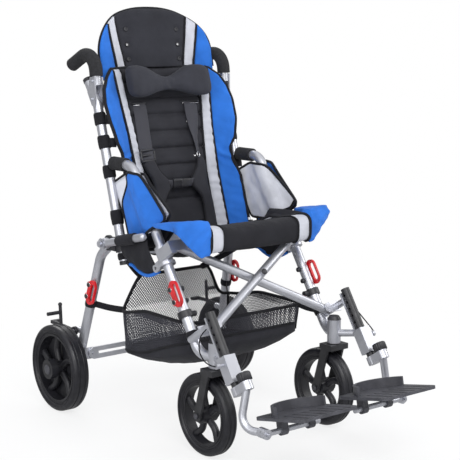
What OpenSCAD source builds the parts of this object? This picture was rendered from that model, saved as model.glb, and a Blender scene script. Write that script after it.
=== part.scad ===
// Special needs buggy: an umbrella-folding mobility pushchair with a sling seat, tall padded
// back, head extension, swivel casters, wheel locks, adjustable footrests and a cloth basket.
// Millimetres. +Z is up, the rider faces -Y, the rider's left is +X, the floor is Z = 0.
// The side frames are mirror twins, drawn at +X and mirrored for the rider's right.

/* [Wheels] */
// Distance between the two rear wheel centre planes
rear_track = 560; // [480:5:640]
// Rear wheel diameter over the tyre
rear_wheel_d = 230; // [200:5:300]
// Rear tyre width
rear_tyre_w = 46; // [30:1:60]
// Rear axle position along Y
rear_axle_y = 395; // [360:5:430]
// Distance between the two caster stems
caster_track = 376; // [340:4:420]
// Caster wheel diameter over the tyre
caster_wheel_d = 200; // [150:5:205]
// Caster tyre width
caster_tyre_w = 36; // [28:1:44]
// Caster stem position along Y
stem_y = -165; // [-185:1:-150]
// How far the caster axle trails behind its stem
caster_trail = 36; // [20:1:50]
// Tyre depth, tread to rim
tyre_depth = 22; // [14:1:30]
// Number of wheel spokes
spokes = 5; // [3:1:7]

/* [Front legs] */
// Angle of the front legs, footrest receivers and cross tubes from the vertical
lean = 33; // [26:1:38]
// Front leg centre line, distance from the middle plane
leg_x = 203; // [190:1:215]
// Where the leg line passes, along Y
leg_ref_y = -58; // [-80:1:-40]
// Where the leg line passes, height
leg_ref_z = 345; // [330:1:360]
// Frame tube diameter
tube_d = 25; // [20:1:28]
// Bend radius of the frame tubes
bend_r = 45; // [35:1:60]
// Height of the armrest tube
arm_z = 668; // [640:1:700]
// Height where the leg tube meets the caster housing
leg_foot_z = 246; // [240:1:256]

/* [Cross tubes] */
// Distance from the middle plane to the cross tube pivots
cross_half_x = 186; // [176:1:190]
// Height of the crossing bolt along the leg line
cross_mid = 31; // [20:1:40]
// Rise of each cross tube half along the leg line
cross_rise = 110; // [95:1:125]
// Distance of the cross tube plane in front of the leg line
cross_off = 56; // [52:1:60]
// Cross tube diameter
cross_d = 22; // [18:1:24]
// Offset of each cross tube from the plane between them
cross_layer = 14; // [13:0.5:16]
// Length of cross tube past its pivot
cross_past = 10; // [6:1:12]
// Pivot bolt diameter
bolt_d = 8; // [6:1:10]
// Thickness of the pivot lugs
lug_t = 4; // [3:0.5:5]

/* [Sleeves and seat rails] */
// Lower end of the sliding sleeve along the leg line
sleeve_low = 113; // [105:1:120]
// Sleeve length
sleeve_l = 50; // [40:1:60]
// Sleeve wall
sleeve_wall = 5; // [3:0.5:6]
// Diameter of the spare hole in the sleeve ear
ear_hole_d = 8.5; // [6:0.5:10]
// Seat rail distance from the middle plane
rail_x = 236; // [235:1:240]
// Seat rail hinge along Y
rail_hinge_y = 235; // [225:1:245]
// Seat rail hinge height
rail_hinge_z = 466; // [455:1:475]
// Seat rail front end along Y
rail_front_y = 62; // [56:1:80]
// Seat rail front end height
rail_front_z = 505; // [496:1:515]
// Seat rail diameter
rail_d = 20; // [16:1:22]

/* [Rear legs and back canes] */
// Back cane distance from the middle plane
cane_x = 205; // [200:1:212]
// Cane foot along Y
cane_foot_y = 190; // [180:1:200]
// Cane foot height
cane_foot_z = 424; // [410:1:440]
// Cane bend along Y
cane_bend_y = 304; // [295:1:312]
// Cane bend height
cane_bend_z = 812; // [800:1:825]
// Cane stub end along Y
cane_top_y = 344; // [335:1:352]
// Cane stub end height
cane_top_z = 868; // [855:1:880]
// Handle tube diameter
handle_d = 22; // [18:1:23]
// Handle bend along Y
handle_bend_y = 316; // [308:1:325]
// Handle bend height
handle_bend_z = 958; // [945:1:970]
// Handle end along Y
handle_end_y = 420; // [400:1:440]
// Handle end height
handle_end_z = 912; // [895:1:925]
// Rear leg top, distance from the middle plane
rear_leg_top_x = 212; // [208:1:212]
// Rear leg bend along Y
rear_leg_bend_y = 290; // [280:1:300]
// Rear leg bend height
rear_leg_bend_z = 425; // [410:1:440]
// Rear leg foot, distance from the middle plane
rear_leg_foot_x = 240; // [236:1:242]
// Rear leg foot along Y
rear_leg_foot_y = 366; // [355:1:380]
// Rear leg foot height
rear_leg_foot_z = 128; // [120:1:140]
// Height of the folding strut at the rear legs
strut_z = 156; // [150:1:165]
// Distance from the middle plane to the strut pivots
strut_half_x = 214; // [205:1:216]

/* [Footrests] */
// Footrest tube distance from the middle plane
foot_x = 213; // [208:1:218]
// Distance of the footrest tube in front of the leg line
foot_off = 106; // [100:1:112]
// Footrest tube diameter
foot_tube_d = 22; // [18:1:24]
// Upper end of the footrest tube along the leg line
foot_top = -53; // [-60:1:-45]
// Lower end of the receiver along the leg line
receiver_low = -226; // [-235:1:-215]
// Length of the receiver clamp
receiver_l = 64; // [50:1:80]
// Footplate width
plate_w = 171; // [150:1:176]
// Footplate length, heel to toe
plate_l = 163; // [130:1:165]
// Footplate thickness
plate_t = 7; // [5:0.5:9]
// Toe-up angle of the footplate
plate_tilt = 12; // [6:1:16]
// Footplate bar height
plate_bar_z = 122; // [116:1:130]
// Height of the heel cup
heel_h = 25; // [18:1:30]

/* [Soft parts] */
// Seat sling half width between the legs
seat_half_w = 180; // [165:1:182]
// Seat front roll half width, tip to middle
seat_tip_x = 236; // [225:1:240]
// Seat front edge along Y
seat_front_y = -108; // [-115:1:-100]
// Seat rear edge along Y
seat_rear_y = 205; // [195:1:208]
// Back sling half width at its wings
back_half_w = 204; // [196:1:206]
// Back sling lower edge height
back_low_z = 498; // [494:1:506]
// Back sling top edge height
back_top_z = 902; // [885:1:910]
// Back sling thickness
back_t = 18; // [14:1:22]
// Head extension top height
head_top_z = 1058; // [1040:1:1080]
// Head extension half width
head_half_w = 178; // [150:1:180]
// Headrest half width
pillow_half_w = 130; // [100:1:135]
// Basket half width at the rim
basket_half_w = 176; // [160:1:178]
// Basket rim height
basket_rim_z = 306; // [295:1:315]
// Basket rear panel top height
basket_back_z = 382; // [370:1:390]
// Basket floor height at its lowest
basket_low_z = 124; // [116:1:140]
// Cloth thickness
cloth_t = 3; // [2:0.5:4]

/* [Hidden] */
$fn = 48;
gap = 0.3;
overrun = 2;
side_gap = 1;
bend_swell = 0.1;
tube_r = tube_d / 2;
cross_r = cross_d / 2;
bolt_r = bolt_d / 2;
head_r = 8;
head_t = 5;
rail_r = rail_d / 2;
handle_r = handle_d / 2;
foot_r = foot_tube_d / 2;
rear_r = rear_wheel_d / 2;
caster_r = caster_wheel_d / 2;
rear_x = rear_track / 2;
stem_x = caster_track / 2;
caster_y = stem_y + caster_trail;
// shades of the finished product
silver = [0.66, 0.67, 0.70];
black = [0.10, 0.10, 0.11];
blue = [0.10, 0.36, 0.85];
grey = [0.70, 0.71, 0.73];
red = [0.80, 0.10, 0.10];
tyre_grey = [0.20, 0.20, 0.22];

// Caster housing and fork
housing_low = 222;
housing_top = 282;
housing_r = 17;
stem_r = 10;
stem_top = 268;
crown_low = 206;
crown_top = 220;
crown_half_y = 22;
fork_gap = 5;
fork_t = 6;
fork_w = 24;
fork_eye_r = 14;
fork_axle_r = 5;
fork_half_x = caster_tyre_w / 2 + fork_gap + fork_t / 2;

// Wheel centres
hub_r = 20;
hub_bore_r = 5.3;
rear_axle_r = 6;
rear_bore_r = 6.3;
rim_t = 7;
rim_w_share = 0.72;
spoke_w = 17;
spoke_sweep = 30;
spoke_bend_r = 30;
tyre_round = 10;
groove_r = 2.2;
groove_share = 0.167;
cap_r = 26;
cap_t = 4;

// Leg brackets
strap_tube_r = 9;
strap_tube_x = 213;
lug_r = 13;
lug_edge_x = strap_tube_x + strap_tube_r;
bar_off = 90;
bar_t = 6;
bar_w = 20;
bar_top = -60;
brace_r = 9;
brace_low = -165;
brace_short = 5.2;
receiver_half_x = 16;
receiver_half_y = 15;
pin_r = 3.5;
pin_l = 16;
pin_knob_r = 7;
pin_drop = 14;

// Sleeve and ear
sleeve_r = tube_r + gap + sleeve_wall;
ring_wall = 3;
ring_r = sleeve_r + ring_wall;
ring_l = 8;
ear_t = 6;
ear_reach = 36;
ear_r = 11;
arm_low = 124;
arm_w = 14;
arm_h = 30;

// Rear axle block, locks and strut
axle_boss_r = 17;
axle_boss_w = 22;
axle_end = 34;
boss_lift = 6;
strut_bolt_l = 24;
lock_y = 372;
lock_z = 214;
lock_x = 246;
lock_t = 8;
lock_eye_r = 11;
lock_pin_r = 4;
lock_arm_w = 10;
pedal_y = 470;
pedal_z = 216;
pedal_w = 26;
pedal_l = 30;
pedal_t = 9;
lever_y = 446;
lever_z = 272;
lever_r = 4.5;
pawl_r = 5;
pawl_share = 0.62;
lever_share = 0.72;
pawl_out = 40;
strut_y = 338;
strut_bar_t = 5;
strut_bar_h = 12;
strut_pitch = 20;
strut_layer = 6;
strut_eye_r = 15;
strut_lug_t = 6;

// Foot arm and plate
knuckle_r = 15;
knuckle_l = 20;
knuckle_low = -256;
knob_off = 144;
knob_r = 13;
knob_l = 40;
knob_ribs = 14;
knob_rib_r = 1.6;
arm_bar_r = 9;
arm_turn_y = -312;
arm_bow_x = 20;
arm_bow_z = -2;
arm_end_y = -372;
arm_bend_r = 34;
eye_r = 12;
eye_w = 12;
flip_pin_r = 4;
plate_bar_r = 6.6;
plate_mid_x = 126;
plate_lift = 32;
plate_heel = 38;
clamp_w = 16;
clamp_r = 12;
clamp_in_x = 84;
clamp_out_x = 164;
tread_slots = 6;
tread_w = 5;
tread_l = 84;
tread_in = 40;
heel_t = 7;
heel_arc = 76;
corner_r = 14;

// Tie-down loops
loop_t = 6;
loop_l = 66;
loop_w = 34;
loop_wall = 9;
loop_low = 2;
loop_off = 14;
rear_loop_z = 298;

// Grips, bands and caps
grip_t = 4.5;
grip_low_z = 884;
arm_grip_clear = 4;
arm_rear_y = 240;
arm_grip_rear = 237;
arm_bolt_l = 8;
handle_low_y = 306;
handle_low_z = 861;
bracket_t = 4;
bracket_shape = [[296, 804], [312, 810], [332, 842], [324, 862], [319, 882], [297, 882]];
bracket_bolts = [[310, 826], [307, 872]];
band_t = 2.5;
band_h = 30;
band_places = [791, 734, 660, 549];
tab_above_z = 700;
tab_x = 196;
tab_w = 8;
clamp_collar = -24;
collar_t = 5;
collar_h = 16;
cap_h = 9;
block_r = 20;
block_t = 7;

// The middle of the overall length, which is drawn at Y = 0
bar_y = arm_end_y - side_gap - eye_w / 2;
toe_y = bar_y + (plate_heel - plate_l) * cos(plate_tilt) + (plate_lift - plate_t / 2) * sin(plate_tilt);
middle_y = (rear_axle_y + rear_r + toe_y) / 2;

// Every physical piece that is drawn

// Points and helpers

// A point given across, behind and up the leaning leg line
function lean_pt(x, behind, up) = [
  x,
  leg_ref_y + behind * cos(lean) + up * sin(lean),
  leg_ref_z - behind * sin(lean) + up * cos(lean)
];
function unit(v) = v / norm(v);
function lerp(a, b, t) = a + (b - a) * t;
function clamp01(t) = min(1, max(0, t));
function smooth(t) = let (c = clamp01(t)) c * c * (3 - 2 * c);
// How far along the leg line a height lies
function up_at(z) = (z - leg_ref_z) / cos(lean);

module lean_frame() {
  translate([0, leg_ref_y, leg_ref_z]) rotate([-lean, 0, 0]) children();
}
// The rider's left as drawn, and its mirror twin
module left_side() { translate([0, -middle_y, 0]) children(); }
module right_side() { left_side() mirror([1, 0, 0]) children(); }

// A straight round bar between two points
module rod(a, b, r) {
  d = b - a;
  translate(a) rotate([0, acos(d[2] / norm(d)), atan2(d[1], d[0])]) cylinder(h = norm(d), r = r);
}
// Length of straight lost to a bend at corner b
function bend_cut(a, b, c, big) =
  big * tan(acos(min(1, max(-1, unit(b - a) * unit(c - b)))) / 2);
// A round bar along three or more points, bent at each corner; a bend swells a hair and laps its straights
module bent(p, r, big) {
  last = len(p) - 1;
  for (i = [0 : last - 1]) {
    d = unit(p[i + 1] - p[i]);
    from = i == 0 ? p[0] : p[i] + d * (bend_cut(p[i - 1], p[i], p[i + 1], big) - side_gap);
    to = i == last - 1 ? p[last] : p[i + 1] - d * (bend_cut(p[i], p[i + 1], p[i + 2], big) - side_gap);
    rod(from, to, r);
  }
  for (i = [1 : last - 1]) {
    d1 = unit(p[i] - p[i - 1]);
    d2 = unit(p[i + 1] - p[i]);
    turn = acos(d1 * d2);
    out = -unit(d2 - d1 * (d1 * d2));
    up = cross(out, d1);
    c = p[i] - d1 * bend_cut(p[i - 1], p[i], p[i + 1], big) - out * big;
    multmatrix([
      [out[0], d1[0], up[0], c[0]],
      [out[1], d1[1], up[1], c[1]],
      [out[2], d1[2], up[2], c[2]]
    ])
      rotate_extrude(angle = turn) translate([big, 0]) circle(r + bend_swell);
  }
}
// A box drawn about its middle
module block(size, at) { translate(at) cube(size, center = true); }
// Round bars along X and along Y, drawn about their middles
module across(r, l, at) { translate(at) rotate([0, 90, 0]) cylinder(h = l, r = r, center = true); }
module fore_aft(r, l, at) { translate(at) rotate([90, 0, 0]) cylinder(h = l, r = r, center = true); }
// A closed skin over rings of equal count, capped at both ends
module loft(rings) {
  n = len(rings[0]);
  m = len(rings);
  skin = [for (j = [0 : m - 2]) for (i = [0 : n - 1]) each
    let (a = j * n + i, b = j * n + (i + 1) % n, c = a + n, d = b + n) [[a, c, b], [b, c, d]]];
  low_cap = [for (i = [1 : n - 2]) [0, i, i + 1]];
  top_cap = [for (i = [1 : n - 2]) [(m - 1) * n, (m - 1) * n + i + 1, (m - 1) * n + i]];
  polyhedron(points = [for (r = rings) each r], faces = concat(skin, low_cap, top_cap));
}
// Signed root: fuller than an ellipse as the power falls
function full(s, power) = sign(s) * pow(abs(s), power);

// Front legs

arm_corner = lean_pt(leg_x, 0, up_at(arm_z));
foot_corner = lean_pt(leg_x, 0, up_at(leg_foot_z));
leg_path = [
  [leg_x, arm_rear_y, arm_z], arm_corner, foot_corner, [stem_x, stem_y, leg_foot_z]
];
pivot_low = cross_mid - cross_rise;
pivot_high = cross_mid + cross_rise;

// A lug in the plane between the cross tubes, with its bolt through one of them
module pivot_lug(up, to_front) {
  lean_frame() {
    block([lug_edge_x - cross_half_x, lug_t, 2 * lug_r],
          [(lug_edge_x + cross_half_x) / 2, -cross_off, up]);
    fore_aft(lug_r, lug_t, [cross_half_x, -cross_off, up]);
    shank = lug_t / 2 + cross_layer + cross_r + side_gap;
    turn = to_front ? -1 : 1;
    fore_aft(bolt_r, shank, [cross_half_x, -cross_off + turn * shank / 2, up]);
    fore_aft(head_r, head_t, [cross_half_x, -cross_off + turn * (shank + head_t / 2), up]);
  }
}
module front_leg(to_front) {
  color(silver) difference() {
    union() {
      bent(leg_path, tube_r, bend_r);
      fore_aft(bolt_r, 2 * arm_bolt_l, [leg_x, arm_rear_y, arm_z]);
      translate([stem_x, stem_y, housing_low]) cylinder(h = housing_top - housing_low, r = housing_r);
      rod(lean_pt(strap_tube_x, 0, pivot_low), lean_pt(strap_tube_x, -bar_off, pivot_low), strap_tube_r);
      rod([stem_x, stem_y, leg_foot_z], lean_pt(foot_x, -bar_off + brace_short, brace_low), brace_r);
      pivot_lug(pivot_low, to_front);
    }
    translate([stem_x, stem_y, housing_low - overrun])
      cylinder(h = stem_top - housing_low + overrun + side_gap, r = stem_r + gap);
  }
}
// The channel bar behind the footrest tube, its clamp and the quick-release pin
module receiver() {
  clamp_mid = receiver_low + receiver_l / 2;
  color(silver) lean_frame() difference() {
    union() {
      block([bar_w, bar_t, bar_top - receiver_low],
            [foot_x, -bar_off - gap - bar_t / 2, (bar_top + receiver_low) / 2]);
      block([2 * receiver_half_x, 2 * receiver_half_y, receiver_l], [foot_x, -foot_off, clamp_mid]);
      across(pin_r, pin_l, [foot_x + receiver_half_x + pin_l / 2, -foot_off, clamp_mid + pin_drop]);
      across(pin_knob_r, pin_l / 2,
             [foot_x + receiver_half_x + pin_l, -foot_off, clamp_mid + pin_drop]);
    }
    translate([foot_x, -foot_off, receiver_low - overrun])
      cylinder(h = bar_top - receiver_low + 2 * overrun, r = foot_r + gap);
  }
}
// The sliding sleeve that carries the upper end of a cross tube
module sleeve(to_front) {
  color(silver) {
    difference() {
      union() {
        lean_frame() {
          translate([leg_x, 0, sleeve_low]) cylinder(h = sleeve_l, r = sleeve_r);
          translate([leg_x, 0, sleeve_low]) cylinder(h = ring_l, r = ring_r);
          block([arm_w, cross_off, arm_h], [strap_tube_x, -cross_off / 2, arm_low + arm_h / 2]);
          block([ear_t, ear_reach, 2 * ear_r], [leg_x + sleeve_r / 2, ear_reach / 2, sleeve_low + ear_r]);
          across(ear_r, ear_t, [leg_x + sleeve_r / 2, ear_reach, sleeve_low + ear_r]);
        }
        pivot_lug(pivot_high, to_front);
      }
      lean_frame() {
        translate([leg_x, 0, sleeve_low - overrun])
          cylinder(h = sleeve_l + 2 * overrun, r = tube_r + gap);
        across(ear_hole_d / 2, ear_t + 2 * overrun,
               [leg_x + sleeve_r / 2, ear_reach, sleeve_low + ear_r]);
      }
    }
  }
}

// Seat rails

rail_front = [rail_x, rail_front_y, rail_front_z];
rail_hinge = [rail_x, rail_hinge_y, rail_hinge_z];
rail_eye_wall = 4;
rail_eye_r = rail_r + rail_eye_wall;
hinge_pin_r = 5;
leg_past = 5;

module seat_rail() {
  color(silver) difference() {
    union() {
      rod(rail_front, rail_hinge, rail_r);
      translate(rail_front) sphere(rail_r + gap);
      across(rail_eye_r, rail_d, rail_hinge);
    }
    across(hinge_pin_r + gap, rail_d + 2 * overrun, rail_hinge);
  }
}

// The cloth that wraps a seat rail and hangs as a web to the seat sling
wrap_from = 32;
wrap_l = 78;
web_in = 54;
web_drop = 26;
web_rise = 12;
web_turn = 30;
module rail_wrap() {
  d = rail_hinge - rail_front;
  out_r = rail_r + gap + cloth_t;
  mid_r = out_r - cloth_t / 2;
  color(black) translate(rail_front) rotate([-atan2(d[1], d[2]), 0, 0]) translate([0, 0, wrap_from])
    difference() {
      linear_extrude(wrap_l) union() {
        circle(out_r);
        polygon([[0, mid_r], [-mid_r * sin(web_turn), mid_r * cos(web_turn)],
                 [-web_in / 2, web_drop - cloth_t], [-web_in, web_rise], [-web_in, web_rise + cloth_t],
                 [-web_in / 2, web_drop]]);
      }
      translate([0, 0, -overrun]) cylinder(h = wrap_l + 2 * overrun, r = rail_r + gap);
    }
}

// Back canes, push handles and rear legs

cane_path = [
  [cane_x, cane_foot_y, cane_foot_z], [cane_x, cane_bend_y, cane_bend_z], [cane_x, cane_top_y, cane_top_z]
];
handle_path = [
  [cane_x, handle_low_y, handle_low_z], [cane_x, handle_bend_y, handle_bend_z],
  [cane_x, handle_end_y, handle_end_z]
];
handle_dir = unit(handle_path[1] - handle_path[0]);
grip_start = handle_path[0] + handle_dir * (grip_low_z - handle_low_z) / handle_dir[2];
handle_end_dir = unit(handle_path[2] - handle_path[1]);
rear_leg_path = [
  [rear_leg_top_x, rail_hinge_y, rail_hinge_z] - leg_past * unit([0, rear_leg_bend_y - rail_hinge_y,
                                                                  rear_leg_bend_z - rail_hinge_z]),
  [rear_leg_top_x, rear_leg_bend_y, rear_leg_bend_z],
  [rear_leg_foot_x, rear_leg_foot_y, rear_leg_foot_z]
];
leg_down = unit(rear_leg_path[2] - rear_leg_path[1]);
// Where the rear leg line stands at a height
function rear_leg_at(z) = rear_leg_path[1] + leg_down * (z - rear_leg_bend_z) / leg_down[2];

// The cane and the handle tube, held side by side by a bolted two-plate bracket
module back_cane() {
  color(silver) {
    bent(cane_path, tube_r, bend_r);
    bent(handle_path, handle_r, bend_r);
    for (s = [-1, 1]) translate([cane_x + s * handle_r - bracket_t / 2, 0, 0])
      rotate([90, 0, 90]) linear_extrude(bracket_t) polygon(bracket_shape);
    for (b = bracket_bolts) across(bolt_r, tube_d + 2 * head_t, [cane_x, b[0], b[1]]);
  }
}
module push_grip() {
  color(black) difference() {
    bent([grip_start, handle_path[1], handle_path[2] + handle_end_dir * grip_t],
         tube_r + gap + grip_t, bend_r);
    bent([grip_start - handle_dir * overrun, handle_path[1], handle_path[2] + handle_end_dir * gap],
         handle_r + gap, bend_r);
  }
}
// The grip starts where the leg tube has finished its bend
arm_grip_front = arm_corner[1] + bend_cut(leg_path[0], leg_path[1], leg_path[2], bend_r) + arm_grip_clear;
module arm_grip() {
  mid = (arm_grip_front + arm_grip_rear) / 2;
  color(black) difference() {
    fore_aft(tube_r + gap + grip_t, arm_grip_rear - arm_grip_front, [leg_x, mid, arm_z]);
    fore_aft(tube_r + gap, arm_grip_rear - arm_grip_front + 2 * overrun, [leg_x, mid, arm_z]);
  }
}
module rear_leg() {
  strut_at = rear_leg_at(strut_z);
  lock_at = rear_leg_at(lock_z);
  color(silver) {
    bent(rear_leg_path, tube_r, bend_r);
    // axle block and axle
    block([axle_boss_w, rear_axle_y - rear_leg_foot_y, axle_boss_r],
          [rear_leg_foot_x, (rear_axle_y + rear_leg_foot_y) / 2, rear_r + boss_lift]);
    across(axle_boss_r, axle_boss_w, [rear_leg_foot_x, rear_axle_y, rear_r]);
    across(rear_axle_r, rear_x + axle_end - rear_leg_foot_x,
           [(rear_x + axle_end + rear_leg_foot_x) / 2, rear_axle_y, rear_r]);
    // seat rail hinge pin
    across(hinge_pin_r, rail_x + rail_r + head_t - rear_leg_top_x,
           [(rail_x + rail_r + head_t + rear_leg_top_x) / 2, rail_hinge_y, rail_hinge_z]);
    across(head_r, head_t, [rail_x + rail_r + head_t, rail_hinge_y, rail_hinge_z]);
    // strut lug with its pin
    block([strut_at[0] - strut_half_x, strut_lug_t, 2 * strut_eye_r],
          [(strut_at[0] + strut_half_x) / 2, strut_y, strut_z]);
    fore_aft(strut_eye_r, strut_lug_t, [strut_half_x, strut_y, strut_z]);
    fore_aft(bolt_r, strut_bolt_l, [strut_half_x, strut_y, strut_z]);
    block([strut_lug_t, abs(strut_at[1] - strut_y), strut_lug_t * 2],
          [strut_at[0] - strut_lug_t / 2, (strut_at[1] + strut_y) / 2, strut_z]);
    // wheel lock stub
    across(lock_pin_r, lock_x + lock_t - lock_at[0], [(lock_x + lock_t + lock_at[0]) / 2, lock_y, lock_z]);
    fore_aft(lock_pin_r + grip_t, abs(lock_at[1] - lock_y) + tube_r,
             [lock_at[0], (lock_at[1] + lock_y) / 2, lock_z]);
  }
}

// Plastic caps, collars and hinge blocks
module fittings() {
  cane_dir = unit(cane_path[1] - cane_path[0]);
  stub_dir = unit(cane_path[2] - cane_path[1]);
  color(black) {
    translate([stem_x, stem_y, housing_top])
      cylinder(h = cap_h, r1 = housing_r + side_gap, r2 = housing_r - grip_t);
    rod(cane_path[0] - cane_dir * cap_h, cane_path[0], tube_r + side_gap);
    rod(cane_path[2], cane_path[2] + stub_dir * cap_h, tube_r + side_gap);
    lean_frame() difference() {
      union() {
        translate([leg_x, 0, clamp_collar]) cylinder(h = collar_h, r = tube_r + gap + collar_t);
        across(pin_knob_r, tube_d, [leg_x - tube_r - collar_t, 0, clamp_collar + collar_h / 2]);
      }
      translate([leg_x, 0, clamp_collar - overrun])
        cylinder(h = collar_h + 2 * overrun, r = tube_r + gap);
    }
    // hinge clamp that ties the cane to the rear leg top
    difference() {
      plate_x = cane_x + tube_r + gap + block_t / 2;
      hold = cane_path[0] + cane_dir * (rail_hinge_z - cane_foot_z) / cane_dir[2];
      union() {
        rod(hold - cane_dir * block_r, hold + cane_dir * block_r, tube_r + gap + collar_t);
        across(block_r, block_t, [plate_x, rail_hinge_y, rail_hinge_z]);
        block([block_t, rail_hinge_y - hold[1], 2 * block_r - collar_t],
              [plate_x, (rail_hinge_y + hold[1]) / 2, rail_hinge_z]);
      }
      rod(hold - cane_dir * 2 * block_r, hold + cane_dir * 2 * block_r, tube_r + gap);
      bent(rear_leg_path, tube_r + gap, bend_r);
      across(hinge_pin_r + gap, block_t + 2 * overrun, [plate_x, rail_hinge_y, rail_hinge_z]);
    }
  }
}

// A tie-down loop lying in the YZ plane, its bolted base at Y = 0 and its ring to -Y
module loop(x) {
  mid = loop_l / 2;
  half = loop_w / 2;
  translate([x, 0, 0]) {
    difference() {
      union() {
        for (z = [half, loop_l - half]) across(half, loop_t, [loop_t / 2, -loop_off, z]);
        block([loop_t, loop_w, loop_l - loop_w], [loop_t / 2, -loop_off, mid]);
        for (z = [half, loop_l - half]) across(loop_wall, loop_t, [loop_t / 2, 0, z]);
      }
      hole = half - loop_wall;
      for (z = [half, loop_l - half])
        across(hole, loop_t + 2 * overrun, [loop_t / 2, -loop_off - loop_wall / 2, z]);
      block([loop_t + 2 * overrun, 2 * hole, loop_l - loop_w], [loop_t / 2, -loop_off - loop_wall / 2, mid]);
    }
  }
}
module tie_downs() {
  color(red) {
    lean_frame() translate([0, 0, loop_low]) loop(leg_x + tube_r + gap);
    translate(rear_leg_at(rear_loop_z)) rotate([atan2(leg_down[1], -leg_down[2]), 0, 0])
      rotate([0, asin(-leg_down[0]), 0]) loop(tube_r + gap);
  }
}
// Cloth bands that hold the back sling to the cane
module bands() {
  dir = unit(cane_path[1] - cane_path[0]);
  color(black) difference() {
    union() {
      for (z = band_places) {
        at = cane_path[0] + dir * (z - cane_foot_z) / dir[2];
        rod(at, at - dir * band_h, tube_r + gap + band_t);
      }
      for (z = band_places) if (z > tab_above_z) {
        mid_z = z - band_h / 2;
        reach = lookup(mid_z, wing_flare) * smooth((tab_x - flare_from) / (back_half_w - flare_from))
                - cloth_t - gap - tab_w / 2;
        block([tab_w, reach, tab_w], [tab_x, back_line(mid_z) - reach / 2, mid_z]);
      }
    }
    bent([cane_path[0] - dir * overrun, cane_path[1], cane_path[2]], tube_r + gap, bend_r);
  }
}
// The cloth side guard slipped over the leg tube
panel_front = [8, 558];
panel_peak = [128, 640];
panel_back = [230, 640];
panel_heel = [182, 488];
panel_low = [138, 474];
panel_t = 5;
pocket_low = 226;
pocket_high = 344;
module side_panel() {
  color(blue) difference() {
    union() {
      translate([leg_x - panel_t / 2, 0, 0]) rotate([90, 0, 90])
        linear_extrude(panel_t) polygon([panel_front, panel_peak, panel_back, panel_heel, panel_low]);
      lean_frame() translate([leg_x, 0, pocket_low])
        cylinder(h = pocket_high - pocket_low, r = tube_r + gap + cloth_t);
    }
    lean_frame() translate([leg_x, 0, 0]) cylinder(h = up_at(arm_z), r = tube_r + gap);
  }
}

// Wheels

// A tyre turned about X with a rounded tread and two grooves
module tyre(big, w, grooved) {
  in_r = big - tyre_depth;
  rotate([0, 90, 0]) rotate_extrude() difference() {
    union() {
      translate([in_r, -w / 2 * rim_w_share]) square([tyre_depth - tyre_round, w * rim_w_share]);
      translate([in_r + tyre_round, -w / 2 + tyre_round])
        square([tyre_depth - tyre_round, w - 2 * tyre_round]);
      for (s = [-1, 1]) translate([big - tyre_round, s * (w / 2 - tyre_round)]) circle(tyre_round);
      translate([in_r + tyre_round, -w / 2]) square([tyre_depth - 2 * tyre_round, w]);
    }
    if (grooved) for (s = [-1, 1]) translate([big, s * w * groove_share]) circle(groove_r);
  }
}
// A wheel centre turned about X: rim, hub and swept spokes
module rim(big, w, bore, hub_w) {
  rim_out = big - tyre_depth - gap;
  rim_in = rim_out - rim_t;
  swing = (rim_in + hub_r) / 2;
  difference() {
    union() {
      rotate([0, 90, 0]) rotate_extrude() translate([rim_in, -w / 2 * rim_w_share])
        square([rim_t, w * rim_w_share]);
      across(hub_r, hub_w, [0, 0, 0]);
      for (k = [0 : spokes - 1]) rotate([k * 360 / spokes, 0, 0]) {
        bent([[0, 0, hub_r / 2], [0, swing * sin(spoke_sweep) / 2, swing * cos(spoke_sweep / 2)],
              [0, 0, rim_in + rim_t / 2]], spoke_w / 2, spoke_bend_r);
      }
    }
    across(bore, hub_w + 2 * overrun, [0, 0, 0]);
  }
}
module caster_fork() {
  color(black) {
    translate([stem_x, stem_y, crown_low]) cylinder(h = stem_top - crown_low, r = stem_r);
    block([2 * fork_half_x + fork_t, 2 * crown_half_y, crown_top - crown_low],
          [stem_x, stem_y, (crown_low + crown_top) / 2]);
    for (s = [-1, 1]) translate([stem_x + s * fork_half_x, 0, 0]) {
      low = [0, caster_y, caster_r];
      high = [0, stem_y, crown_top];
      d = high - low;
      translate(low) rotate([-atan2(d[1], d[2]), 0, 0])
        block([fork_t, fork_w, norm(d) - fork_w / 2], [0, 0, norm(d) / 2 - fork_w / 4]);
      across(fork_eye_r, fork_t, low);
    }
    across(fork_axle_r, 2 * fork_half_x + fork_t + head_t, [stem_x, caster_y, caster_r]);
  }
}
module caster_rim() {
  color(black) translate([stem_x, caster_y, caster_r])
    rim(caster_r, caster_tyre_w, hub_bore_r, caster_tyre_w + fork_gap);
}
module caster_tyre() {
  color(tyre_grey) translate([stem_x, caster_y, caster_r]) tyre(caster_r, caster_tyre_w, true);
}
module rear_rim() {
  color(black) translate([rear_x, rear_axle_y, rear_r]) {
    rim(rear_r, rear_tyre_w, rear_bore_r, rear_tyre_w);
    translate([axle_end + gap, 0, 0]) rotate([0, 90, 0]) cylinder(h = cap_t, r = cap_r);
    translate([rear_tyre_w / 2 - cap_t, 0, 0]) rotate([0, 90, 0]) difference() {
      cylinder(h = axle_end - rear_tyre_w / 2 + cap_t + gap, r = cap_r);
      translate([0, 0, -overrun]) cylinder(h = axle_end, r = rear_axle_r + cap_t);
    }
  }
}
module rear_tyre() {
  color(tyre_grey) translate([rear_x, rear_axle_y, rear_r]) tyre(rear_r, rear_tyre_w, true);
}
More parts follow.
